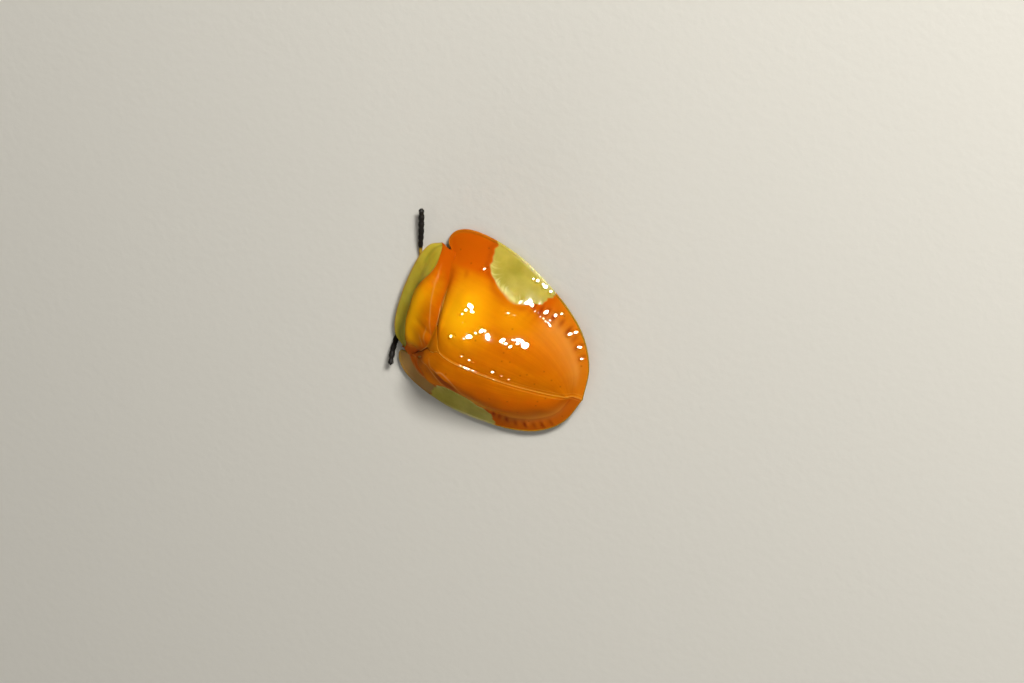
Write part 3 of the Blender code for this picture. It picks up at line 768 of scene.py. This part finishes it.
def plate_relief(w, v):
    """Height of the pronotum's own shapes over the plain sheet, in mm."""
    edge = border_at(w)
    brow = 0.17 * hill(v, edge - 0.12, 0.11) * step(np.abs(w), 0.85, 0.5)
    groove = -0.05 * hill(w, 0, 0.035) * step(v, 0.62, 0.3)
    side_hollow = -0.14 * hill(np.hypot((np.abs(w) - 0.62) * 3.6, (v - 0.2) * 3.2), 0, 0.75)
    step_down = -0.1 * step(v - edge, -0.015, 0.025)
    lip = 0.04 * step(v, 0.88, 1.0)
    folds = 0.02 * np.sin(17 * w + 5 * v) * hill(v, 0.12, 0.15)
    folds = folds + 0.012 * np.sin(31 * w - 9 * v) * hill(v, 0.1, 0.12)
    hem = 0.02 * hill(v, 0.03, 0.015) - 0.07 * np.exp(-(v / 0.014) ** 2)
    return brow + groove + side_hollow + step_down + lip + folds + hem


def plate_numbers(w, v, folded):
    """The shares that the finish reads, each from 0 to 1."""
    edge = border_at(w)
    clear = step(v - edge, -0.02, 0.025)
    far = np.abs(w)
    # Painted shade: dark spots over the eyes, a band just inside the clear border and arcs in the corners.
    eye_shadows = 0.9 * hill(np.hypot((far - 0.27) * 9, (v - edge - 0.04) * 26), 0, 1.0)
    corners = 0.5 * hill(v, 0.82, 0.04) * step(far, 0.45, 0.65)
    # Painted highlight along the step to the clear border, and a pale line along the front rim.
    rims = 0.6 * hill(v, edge - 0.012, 0.012) * step(far, 0.85, 0.6) + 0.6 * step(v, 0.965, 0.985)
    return {
        "clear": clear,
        # Yellow along the brow, partly the plate's own colour and partly a painted highlight.
        "yellow_and_painted_light": hill(v, edge - 0.19, 0.18) * step(far, 0.62, 0.2) * (1 - clear),
        "deep": (step(far, 0.55, 0.85) + step(v, 0.22, 0.04) * 0.6).clip(0, 1) * (1 - clear),
        "shadow": np.clip(eye_shadows + 0.45 * hill(v, edge + 0.03, 0.03) + corners, 0, 1),
        "painted_edge_highlight_and_rim": rims,
        "fold_line": np.maximum(0.7 * hill(v, 0.022, 0.014) * step(far, 0.7, 0.4), 0.45 * folded),
        "across": w, "along": v}


# Its yellow is partly a painted highlight on the brow.
plate_finish = amber_horn("amber_horn_pronotum", (
    ("yellow_and_painted_light", "#F8AA08"), ("deep", "#CC5A02"), ("fold_line", "#D89A4C")), ("#D2B834", "#E6D04C"))

# %% The pronotum
PLATE_COLUMNS, PLATE_ROWS = 320, 170
END_CROWDING = 0.98           # the nearer to 1, the closer the columns lie at both ends
PLATE_FOLDS = [[(-3.26, 2.12), (-2.25, 2.46), (-1.28, 3.0), (-0.62, 3.39), (-0.2, 3.67), (0.35, 3.95)],
               [(-0.35, 3.3), (0.38, 3.39), (0.91, 3.68)],
               [(0.5, 3.0), (0.75, 3.2), (1.27, 3.5)]]      # mm to the side and back
quarter = math.pi / 2 * END_CROWDING
w = np.sin(np.linspace(-quarter, quarter, PLATE_COLUMNS)) / math.sin(quarter)
v = np.linspace(0, 1, PLATE_ROWS)
plain = plate_surface(w, v)
every_w, every_v = np.meshgrid(w, v)
normal = outward(plain)
thickness = np.interp(every_v, (0, 0.8, 1), (CASE_THICK, CASE_THICK, RIM_THICK))
folded = creased(plain, PLATE_FOLDS, FOLD_WIDTH)
relief = plate_relief(every_w, every_v) + FOLD_HEIGHT * folded
top = turned(plain + normal * relief[..., None], every_v)
bottom = turned(plain - normal * thickness[..., None], every_v)
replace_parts(sheet_piece("pronotum_shield", top, bottom, plate_finish,
                        plate_numbers(every_w, every_v, folded)), "pronotum")

# %% [markdown]
# ## Finishes of the body, feelers and eyes
# The skin of the belly and legs is chitin too, but thinner and satin, a horn yellow that is browner
# in the joints. The outer half of a feeler is covered in fine dark down, so it looks like velvet. An
# eye is a dome of tiny lenses: black, glossy, with a grain that is coarser here than the real
# 0.02 mm so that it shows.

# %% The finishes
SKIN_GRAIN = 0.06             # mm, the net of fine lines on the skin


def horn_skin(name, light, dark, stain, roughness=0.38):
    """Satin chitin, mottled between two colours and darker where the mesh says so."""
    material, tree, shader = new_finish(name, {
        "Roughness": roughness, "IOR": 1.55, "Specular IOR Level": 0.2, "Subsurface Weight": 0.2,
        "Subsurface Radius": (0.9, 0.5, 0.15), "Subsurface Scale": 0.2 * MM})
    shade = mixed(tree, spots(tree, 0.5, 0.0, 1.0), light, dark)
    shade = mixed(tree, mask(tree, "stain"), shade, stain)
    tree.links.new(shade, shader.inputs["Base Color"])
    bumped(tree, shader, spots(tree, SKIN_GRAIN, 0.0, 1.0), 0.006)
    return material


belly_finish = horn_skin("satin_chitin_belly", "#C98A2A", "#B87418", "#7A3E0C")
leg_finish = horn_skin("satin_chitin_legs", "#D8A83C", "#C48E28", "#8A4A10")
head_finish = horn_skin("satin_chitin_head", "#CF922E", "#BE7C1E", "#6E360A")
feeler_finish = horn_skin("downy_chitin_feeler", "#D2A83A", "#BC8E2A", "#17120C", 0.6)
claw_finish = horn_skin("hard_chitin_claw", "#5A2C0C", "#43200A", "#2A1406", 0.25)

FACET = 0.035                 # mm from lens to lens
lens_black, tree, shader = new_finish("faceted_eye", {
    "Base Color": colour("#0B0908"), "Roughness": 0.18, "Coat Weight": 0.6, "Coat Roughness": 0.05})
where = add(tree, "ShaderNodeTexCoord").outputs["Object"]
facets = add(tree, "ShaderNodeTexVoronoi", {"feature": "SMOOTH_F1", "Scale": 1 / (FACET * MM)},
             {"Vector": where})
bumped(tree, shader, facets.outputs["Distance"], -0.01)
print("finishes so far:", ", ".join(material.name for material in bpy.data.materials))

# %% [markdown]
# ## The membrane at the joint
# Between the pronotum and the wing cases the skin is soft, so that the plate can nod. It is a tan,
# wrinkled band that follows the hind edge of the plate and lies a little under both shells. As a
# ribbon swept along that edge it closes the joint, and no light falls through.

# %% The membrane
MEMBRANE_AHEAD, MEMBRANE_BEHIND = 0.3, 0.4       # mm that it reaches under the plate and under the cases
MEMBRANE_SINK, MEMBRANE_THICK = 0.2, 0.08        # mm under the edge of the plate, and its own thickness
membrane_finish = horn_skin("soft_chitin_membrane", "#D08A3C", "#B86A22", "#8A3E10", 0.45)
w, v = np.linspace(-0.97, 0.97, 260), np.linspace(0, 1, 24)
every_w, every_v = np.meshgrid(w, v)
edge_points = plate_back(np.abs(w))
edge_points[:, 0] *= np.where(w < 0, -1, 1)
wrinkles = 0.012 * np.sin(9 * every_v + 6 * every_w) + 0.008 * np.sin(70 * every_w + 8 * every_v)
top = np.repeat(edge_points[None], len(v), axis=0)
top[..., 1] += every_v * (MEMBRANE_AHEAD + MEMBRANE_BEHIND) - MEMBRANE_AHEAD
top[..., 2] += wrinkles - MEMBRANE_SINK - 0.15 * (2 * every_v - 0.86) ** 2
# Its colour is darker in the troughs of the wrinkles and lighter on their crests.
sheet_piece("joint_membrane", top, top - (0, 0, MEMBRANE_THICK), membrane_finish,
            {"stain": np.clip(0.5 - 40 * wrinkles, 0, 1)})

# %% [markdown]
# ## The scutellum
# A small triangle of shell locks the two wing cases together where they meet the pronotum. It is a
# thin, slightly crowned plate, and it takes the finish of the wing cases.

# %% The scutellum
SCUTELLUM_FRONT, SCUTELLUM_TIP = 3.86, 4.94      # mm back from the drawing's zero line
SCUTELLUM_HALF_WIDTH, SCUTELLUM_THICK = 0.82, 0.14
rows, columns = np.linspace(0, 1, 40), np.linspace(-1, 1, 31)
every_side, every_back = np.meshgrid(columns, rows)
half = SCUTELLUM_HALF_WIDTH * (1 - every_back) ** 0.9 + 0.02
y = SCUTELLUM_FRONT + (SCUTELLUM_TIP - SCUTELLUM_FRONT) * every_back
crowned = 0.06 * (1 - every_side ** 2) - 0.22 * np.exp(-(every_back / 0.2) ** 2)
top = np.stack([half * every_side, y, np.interp(y, *crown_of) - 0.02 + crowned], -1)
numbers = {"yellow_and_painted_light": 0.3 + 0 * half, "deep": 0.4 + 0 * half, "across": every_side, "along": every_back}
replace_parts(sheet_piece("scutellum_plate", top, top - (0, 0, SCUTELLUM_THICK), shell_finish,
                        numbers), "scutellum")

# %% [markdown]
# ## Forms that grow together
# Legs, feelers and the head are swollen tubes and balls that run into one another without a seam. The
# quickest way to such a form is to lay simple closed shapes over each other, turn them into one skin
# with a voxel remesh, and smooth away the steps. It is done in millimetres, because voxels much
# smaller than a tenth of a unit are refused, and the sizes become metres when the piece is made.

# %% Balls and tubes
def ball(centre, radii, turn=0.0, sides=20):
    """Points and faces of an ellipsoid. turn is its angle about the upright axis."""
    rings = sides // 2
    polar = np.linspace(0, math.pi, rings + 1)[1:-1]
    round_it = np.linspace(0, math.tau, sides, endpoint=False)
    a, b = np.meshgrid(polar, round_it, indexing="ij")
    globe = np.stack([np.sin(a) * np.cos(b), np.sin(a) * np.sin(b), np.cos(a)], -1).reshape(-1, 3)
    globe = np.concatenate([globe, [(0, 0, 1), (0, 0, -1)]]) * radii
    cos, sin = math.cos(turn), math.sin(turn)
    points = globe @ np.array(((cos, sin, 0), (-sin, cos, 0), (0, 0, 1))) + centre
    return points, ring_faces(len(polar), sides)


def ring_faces(rings, sides):
    """Faces of a tube of rings that ends in two single points, the first and the last pole."""
    first, last = rings * sides, rings * sides + 1
    faces = []
    for k in range(sides):
        n = (k + 1) % sides
        faces += [(first, k, n), (last, (rings - 1) * sides + n, (rings - 1) * sides + k)]
        faces += [(r * sides + k, (r + 1) * sides + k, (r + 1) * sides + n, r * sides + n)
                  for r in range(rings - 1)]
    return faces


def around(angle, first, second):
    """For each pair of directions, the spokes at those angles from the first towards the second."""
    return np.cos(angle)[None, :, None] * first[:, None] + np.sin(angle)[None, :, None] * second[:, None]


def limb(route, radii, rings, sides, flat=1.0):
    """A closed tube along a smooth route. radii are spread evenly along it, and flat squashes it."""
    share = np.linspace(0, 1, rings)
    path = smooth_line(route)(share)
    radius = np.interp(share, np.linspace(0, 1, len(radii)), radii)
    ahead = unit(np.gradient(path, axis=0))
    side_way = unit(np.cross(ahead, (0, 0, 1)))
    angle = np.linspace(0, math.tau, sides, endpoint=False)
    spokes = around(angle, side_way, np.cross(side_way, ahead) * flat)
    points = (path[:, None] + spokes * radius[:, None, None]).reshape(-1, 3)
    ends = [path[0] - ahead[0] * radius[0] * 0.5, path[-1] + ahead[-1] * radius[-1] * 0.5]
    return np.concatenate([points, ends]), ring_faces(rings, sides)


print("a ball has", len(ball((0, 0, 0), (1, 1, 1))[0]), "points if its sides aren't given")


# %% Shapes in one skin
def side_by_side(shapes):
    """Several shapes as one list of points and one of faces."""
    points, faces, count = [], [], 0
    for shape_points, shape_faces in shapes:
        points.append(np.asarray(shape_points, float))
        faces += [tuple(int(i) + count for i in face) for face in shape_faces]
        count += len(shape_points)
    return np.concatenate(points), faces


def grown_together(shapes, voxel, rounds):
    """One smooth closed skin round several shapes, from a voxel remesh of that size in mm."""
    points, faces = side_by_side(shapes)
    rough = bpy.data.meshes.new("rough")
    rough.from_pydata(points.tolist(), [], faces)
    holder = bpy.data.objects.new("rough", rough)
    bpy.context.scene.collection.objects.link(holder)
    remesh = holder.modifiers.new("skin", "REMESH")
    remesh.mode, remesh.voxel_size = "VOXEL", voxel
    smooth = holder.modifiers.new("smooth", "SMOOTH")
    smooth.factor, smooth.iterations = 0.5, rounds
    evaluated = holder.evaluated_get(bpy.context.evaluated_depsgraph_get())
    skin = evaluated.to_mesh()
    flat = np.empty(len(skin.vertices) * 3, np.float32)
    skin.vertices.foreach_get("co", flat)
    new_faces = [tuple(face.vertices) for face in skin.polygons]
    evaluated.to_mesh_clear()
    bpy.data.objects.remove(holder)
    bpy.data.meshes.remove(rough)
    return flat.reshape(-1, 3).astype(float), new_faces


# %% The other side, and bristles
def mirrored(points, side):
    """Points of the left side as they are, and of the right side, -1, in a mirror."""
    return np.asarray(points, float) * (side, 1, 1)


def bristles(roots, ways, length, radius):
    """Thin three-sided cones with their roots at those points, as shapes side by side."""
    ways = unit(ways)
    across = unit(np.cross(ways, (0.31, 0.17, 0.94)))
    spokes = around(np.arange(3) * math.tau / 3, across, np.cross(across, ways))
    ring = roots[:, None] + (spokes - ways[:, None]) * radius
    tips = roots + ways * (length * dice.uniform(0.7, 1.2, len(roots)))[:, None]
    points = np.concatenate([ring, tips[:, None]], axis=1).reshape(-1, 3)
    faces = [(4 * i + a, 4 * i + b, 4 * i + c) for i in range(len(roots))
             for a, b, c in ((0, 1, 2), (0, 3, 1), (1, 3, 2), (2, 3, 0))]
    return points, faces


# %% [markdown]
# ## The trunk
# Under the shell the trunk is plated. The belly of the abdomen is five plates that overlap like roof
# tiles towards the tail, and the thorax has a groove down its middle and cups where the legs turn.
# It is the same kind of sheet as a wing case: the top follows the inside of the shell and the
# underside is the belly with its relief.

# %% Relief of the belly
BELLY_PLATES, TILE_STEP = 5, 0.07     # and mm that one plate stands over the next
HIPS = {"front": (0.85, 2.8, 0.44), "middle": (1.35, 4.9, 0.44), "hind": (1.5, 6.25, 0.44)}


def hip_cups(x, y):
    """How deep the belly is sunk round the hips, in mm."""
    return sum(0.10 * hill(np.hypot(np.abs(x) - hx, y - hy), 0.0, 0.42) for hx, hy, _ in HIPS.values())


def abdomen_relief(x, y, share, half):
    """How deep the belly is sunk, in mm, and how dark it is stained."""
    place = share * BELLY_PLATES
    tile = place - np.floor(place)
    side_fold = 0.05 * hill(np.abs(x) / half, 0.82, 0.06)
    relief = side_fold - TILE_STEP * tile * step(share, 1.0, 0.96)
    return relief, 0.7 * step(tile, 0.1, 0.0) + side_fold * 8


def thorax_relief(x, y, share, half):
    """The same for the thorax, with a groove in its middle, one across and one on each flank."""
    middle = 0.05 * hill(x, 0, 0.05) * step(y, 5.0, 5.4)
    band = 0.07 * hill(y + 0.12 * (np.abs(x) / half) ** 2, 5.45, 0.06)
    flank = 0.05 * hill(np.abs(x) / half, 0.74, 0.035) * step(y, 5.4, 5.6)
    return middle + band + flank + hip_cups(x, y), (middle + band + flank) * 9 + 3 * hip_cups(x, y)


print(BELLY_PLATES, "plates and", 2 * len(HIPS), "hip cups")

# %% Plates of the trunk
BELLY_Z, BELLY_RISE = 1.0, 0.12       # mm
TRUNK_REACH = 0.84                    # share of the disc's half width that the trunk fills
TRUNK_CLEAR = 0.32                    # mm from the top of a case to the trunk
TRUNK_THIN = 0.05                     # mm, at its sides


def trunk_piece(name, node, top, relief_of):
    """A length of the trunk under that top, with a belly that has its own relief and stains."""
    x, y = top[..., 0], top[..., 1]
    half = np.abs(x).max(axis=1, keepdims=True)
    share = np.linspace(0, 1, len(top))[:, None] + 0 * x
    relief, stain = relief_of(x, y, share, half)
    bottom = top.copy()
    bottom[..., 2] = BELLY_Z + BELLY_RISE * (x / half) ** 2 + relief
    bottom[..., 2] = np.minimum(bottom[..., 2], top[..., 2] - TRUNK_THIN)
    points, faces = sheet_between(top, bottom)
    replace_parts(piece(name, points, faces, belly_finish,
                      {"stain": np.concatenate([0 * stain.ravel(), np.clip(stain, 0, 1).ravel()])}), node)


def under_the_cases(span, rows, columns):
    """The top of a length of the trunk, just below both wing cases."""
    along = np.linspace(*span, rows)
    reach = TRUNK_REACH * np.minimum(1, 1.5 * (1.16 - along))
    half = case_surface(np.linspace(0, 1, columns)[None] * reach[:, None], along)
    half = half - outward(half) * TRUNK_CLEAR
    return np.concatenate([half[:, :0:-1] * (-1, 1, 1), half], axis=1)


trunk_piece("abdomen_plates", "abdomen", under_the_cases((0.372, 0.88), 160, 50), abdomen_relief)
trunk_piece("thorax_plates", "thorax", under_the_cases((0.02, 0.36), 110, 60), thorax_relief)

# %% The prothorax, under the pronotum
PROTHORAX_REACH, PROTHORAX_SPAN = 0.48, (0.0, 0.40)


def prothorax_relief(x, y, share, half):
    """The same for the prothorax, with a keel between the front legs and a seam on each side."""
    keel = 0.10 * hill(x, 0, 0.22) * step(share, 0.0, 0.15) * step(share, 1.0, 0.8)
    seam = 0.04 * hill(np.abs(x) / half, 0.7, 0.04)
    return hip_cups(x, y) + seam - keel, 3 * hip_cups(x, y) + 9 * seam


plate_rows = np.linspace(*PROTHORAX_SPAN, 60)
under_plate = plate_surface(np.linspace(-PROTHORAX_REACH, PROTHORAX_REACH, 90), plate_rows)
under_plate = under_plate - outward(under_plate) * TRUNK_CLEAR
under_plate = turned(under_plate, plate_rows[:, None])
trunk_piece("prothorax_plates", "prothorax", under_plate[:, ::-1], prothorax_relief)

# %% [markdown]
# ## Head and eyes
# The head hangs under the front of the shield and looks down and forward. From below it shows a broad
# skull with an eye on each side, a raised face that carries the feelers in two small sockets, an
# upper lip, and a pair of jaws with two feeler-like palps at each side. The line of the mouth is the
# gap between lip and jaws, so these are shapes of their own.

# %% The skull
EYE_CENTRE, EYE_RADII = (0.8, 1.52, 0.72), (0.3, 0.38, 0.34)
FEELER_SOCKET = (0.36, 0.98, 0.63)
SKULL_VOXEL = 0.026           # mm
skull = [ball((0, 1.65, 0.62), (0.95, 0.6, 0.44), sides=48),
         ball((0, 2.3, 0.8), (0.7, 0.5, 0.34), sides=32),
         ball((0, 1.16, 0.56), (0.52, 0.26, 0.3), sides=32),
         ball((0, 1.02, 0.42), (0.42, 0.16, 0.14), sides=24)]
for side in (-1, 1):
    skull.append(ball(mirrored(FEELER_SOCKET, side), (0.17, 0.1, 0.17), sides=20))
    skull.append(ball(mirrored((0.74, 1.52, 0.7), side), (0.3, 0.43, 0.39), sides=28))
    skull.append(ball(mirrored((0.6, 1.2, 0.4), side), (0.24, 0.26, 0.16), sides=20))
points, faces = grown_together(skull, SKULL_VOXEL, 6)
stain = (0.8 * hill(points[:, 1], 1.06, 0.05) * step(np.abs(points[:, 0]), 0.5, 0.4)
         + 0.6 * hill(points[:, 0], 0, 0.03) * step(points[:, 1], 2.0, 1.3)
         + 0.9 * step(points[:, 1], 2.1, 2.3))
stain = np.clip(stain, 0, 1)
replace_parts(piece("skull", points, faces, head_finish, {"stain": stain}), "head")

# %% Lip, jaws and palps
JAW = ([(0.3, 1.1, 0.32), (0.32, 0.92, 0.26), (0.2, 0.76, 0.24), (0.04, 0.74, 0.25)],
       (0.13, 0.15, 0.12, 0.03), 20, 14, 0.7)
LONG_PALP = ([(0.4, 1.25, 0.34), (0.56, 1.1, 0.27), (0.66, 0.95, 0.24), (0.68, 0.8, 0.26)],
             (0.07, 0.08, 0.055, 0.085, 0.06, 0.09, 0.1, 0.06), 30, 12)
SHORT_PALP = ([(0.14, 1.12, 0.2), (0.2, 0.98, 0.15), (0.22, 0.86, 0.15)],
              (0.05, 0.06, 0.04, 0.065, 0.05), 20, 10)      # each a route, radii, rings and sides
mouth = [ball((0, 0.9, 0.46), (0.31, 0.17, 0.10), sides=32)]
for side in (-1, 1):
    mouth += [limb(mirrored(route, side), *shape) for route, *shape in (JAW, LONG_PALP, SHORT_PALP)]
points, faces = side_by_side(mouth)
piece("mouth_parts", points, faces, head_finish,
      {"stain": 0.35 + 0.5 * step(points[:, 1], 0.85, 0.74)})

# %% The eyes
for name, side in (("left", 1), ("right", -1)):
    points, faces = ball(mirrored(EYE_CENTRE, side), EYE_RADII, sides=64)
    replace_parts(piece(f"faceted_eye_{name}", points, faces, lens_black), f"eye_{name}")

# %% [markdown]
# ## The feelers
# A feeler has eleven segments, each a small cone that is widest just before its end. The first is
# stout, the next four are slim and yellow, and the outer six are thicker, nearly black and downy. The
# beetle holds its right feeler straight out to the side and its left one bent back along the margin.

# %% Both feelers
FEELER_ROUTES = {
    "right": [(-0.36, 0.72, 0.63), (-1.1, 0.5, 0.42), (-1.9, 0.32, 0.28), (-2.75, 0.1, 0.44),
              (-4.0, -0.22, 0.7), (-5.29, -0.61, 0.92)],
    "left": [(0.36, 0.72, 0.63), (1.1, 0.56, 0.42), (1.9, 0.56, 0.27), (2.8, 0.74, 0.3), (3.75, 1.0, 0.4),
             (4.6, 1.18, 0.66), (5.4, 1.48, 0.88)],
}
SEGMENT_RADII = (0.15, 0.1, 0.085, 0.09, 0.1, 0.135, 0.15, 0.16, 0.165, 0.165, 0.15)      # mm
SEGMENT_SHAPE = (0.74, 0.86, 0.94, 0.99, 1.0, 0.97, 0.84)     # its radius from root to end, as shares
DARK_FROM = 0.46              # share of the feeler where the dark segments start
TIP_RADII = [0.07, 0.03]      # mm, in place of the last two
FEELER_SIDES = 22
DOWN_HAIRS = 2200
DOWN_LENGTH, DOWN_RADIUS = 0.055, 0.006                     # mm

radii = [radius * share for radius in SEGMENT_RADII for share in SEGMENT_SHAPE]
radii[-2:] = TIP_RADII
rings = len(radii) * 2
for name, route in FEELER_ROUTES.items():
    tube = limb(route, radii, rings, FEELER_SIDES)
    share = np.append(np.repeat(np.linspace(0, 1, rings), FEELER_SIDES), (0, 1))
    path = smooth_line(route)
    at = dice.uniform(DARK_FROM - 0.04, 0.99, DOWN_HAIRS)
    middle = path(at)
    ahead = path(at + 0.01) - middle
    out = dice.normal(size=(DOWN_HAIRS, 3))
    out = unit(out - ahead * (out * ahead).sum(1, keepdims=True) / (ahead ** 2).sum(1, keepdims=True))
    radius = np.interp(at, np.linspace(0, 1, len(radii)), radii)[:, None]
    down = bristles(middle + out * radius, out + unit(ahead), DOWN_LENGTH, DOWN_RADIUS)
    points, faces = side_by_side([tube, down])
    stain = np.ones(len(points))
    stain[:len(share)] = step(share, DARK_FROM - 0.02, DARK_FROM + 0.02)
    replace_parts(piece(f"feeler_{name}", points, faces, feeler_finish, {"stain": stain}),
                f"antenna_{name}")

# %% [markdown]
# ## The legs
# Each leg has a short hip in its cup, a swollen thigh, a shin that widens downwards, and a foot of
# three broad lobes, the last one split in two. The lobes have soles of dense golden bristles, with
# which the beetle clings. Past them a slim last joint carries a pair of dark claws.

# %% One leg
LEGS = {
    "front": ((2.2, 2.62, 0.54), (2.35, 1.8, 0.42), (2.95, 1.72, 0.2)),
    "middle": ((2.9, 4.35, 0.56), (3.45, 5.2, 0.42), (4.15, 5.75, 0.2)),
    "hind": ((3.0, 6.95, 0.56), (3.1, 8.2, 0.42), (3.55, 8.9, 0.2)),
}                                 # knee, ankle and toe on the left, mm
LOBES = 3
LOBE_RADII = (0.27, 0.24, 0.15)   # mm
HALF_LOBE_RADII = (0.27, 0.14, 0.15)
CLAW_SPREAD = math.radians(24)
SOLE_BRISTLES = 90                # on each lobe
SOLE_LENGTH, SOLE_RADIUS = 0.12, 0.007      # mm of a bristle
SOLE_LEAN = 0.35                  # how far a bristle leans sideways for each step down
LEG_VOXEL, FOOT_VOXEL = 0.028, 0.022        # mm


def leg_shapes(joints, side):
    """The shapes of one leg in three groups, the roots of its sole bristles, and where it bends."""
    hip, knee, ankle, toe = mirrored(joints, side)
    along_foot = (toe - ankle) * (1, 1, 0) / np.linalg.norm((toe - ankle)[:2])
    beside = np.array((-along_foot[1], along_foot[0], 0))
    angle = math.atan2(along_foot[1], along_foot[0])
    thigh = [hip, (hip + knee) / 2 + (0, 0, 0.06), knee]
    shin = [knee, (knee + ankle) / 2 - (0, 0, 0.02), ankle - (0, 0, 0.04)]
    upper = [ball(hip + (0, 0, 0.18), (0.36, 0.33, 0.46), sides=24),
             limb(thigh, (0.19, 0.27, 0.31, 0.3, 0.24, 0.19), 26, 18),
             limb(shin, (0.16, 0.15, 0.18, 0.23, 0.22), 22, 16)]
    lobes, soles = [], []
    for k in range(LOBES):
        place = ankle + (toe - ankle) * (k + 0.7) / (LOBES - 0.3)
        place[2] = LOBE_RADII[2]
        if k < LOBES - 1:
            lobes.append(ball(place, LOBE_RADII, angle, 24))
        else:
            for way in (-1, 1):
                half_place = place + beside * 0.12 * way + along_foot * 0.05
                lobes.append(ball(half_place, HALF_LOBE_RADII, angle + 0.18 * way, 22))
        bearing = dice.uniform(0, math.tau, SOLE_BRISTLES)
        spread = np.sqrt(dice.uniform(0.4, 1, SOLE_BRISTLES))
        soles.append(place + along_foot * (np.cos(bearing) * spread * 0.25)[:, None]
                     + beside * (np.sin(bearing) * spread * 0.22)[:, None] - (0, 0, 0.03))
    claw_root = place + (0, 0, 0.05)
    tip = claw_root + along_foot * 0.36 + (0, 0, 0.02)
    last_joint = [claw_root, claw_root + along_foot * 0.2 + (0, 0, 0.06), tip]
    lobes.append(limb(last_joint, (0.06, 0.07, 0.09), 12, 12))
    claws = []
    for way in (-1, 1):
        reach = along_foot * math.cos(CLAW_SPREAD) + beside * math.sin(CLAW_SPREAD) * way
        hook = [tip - along_foot * 0.03, tip + reach * 0.1 + (0, 0, 0.03),
                tip + reach * 0.19 - (0, 0, 0.02), tip + reach * 0.22 - (0, 0, 0.11)]
        claws.append(limb(hook, (0.04, 0.036, 0.026, 0.008), 16, 10))
    return upper, lobes, np.concatenate(soles), claws, (knee, ankle)


print(LOBES * SOLE_BRISTLES, "bristles under each foot")

# %% All six legs
for place, joints in LEGS.items():
    for name, side in (("left", 1), ("right", -1)):
        upper, lobes, soles, claws, bends = leg_shapes((HIPS[place], *joints), side)
        sideways = dice.normal(0, SOLE_LEAN, (2, len(soles)))
        down = np.stack([*sideways, -np.ones(len(soles))], 1)
        points, faces = side_by_side([grown_together(upper, LEG_VOXEL, 5),
                                      grown_together(lobes, FOOT_VOXEL, 3),
                                      bristles(soles, down, SOLE_LENGTH, SOLE_RADIUS)])
        points[:, 2] = np.maximum(points[:, 2], 0)
        stain = sum(0.7 * hill(np.linalg.norm(points - bend, axis=1), 0.12, 0.1) for bend in bends)
        # Also darker in a band about 0.75 mm above the floor.
        stain += 0.5 * hill(points[:, 2], 0.75, 0.1)
        leg = piece(f"jointed_leg_{place}_{name}", points, faces, leg_finish,
                    {"stain": np.clip(stain, 0, 1)})
        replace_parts(leg, f"leg_{place}_{name}")
        points, faces = side_by_side(claws)
        points[:, 2] = np.maximum(points[:, 2], 0.005)
        piece(f"claws_{place}_{name}", points, faces, claw_finish)
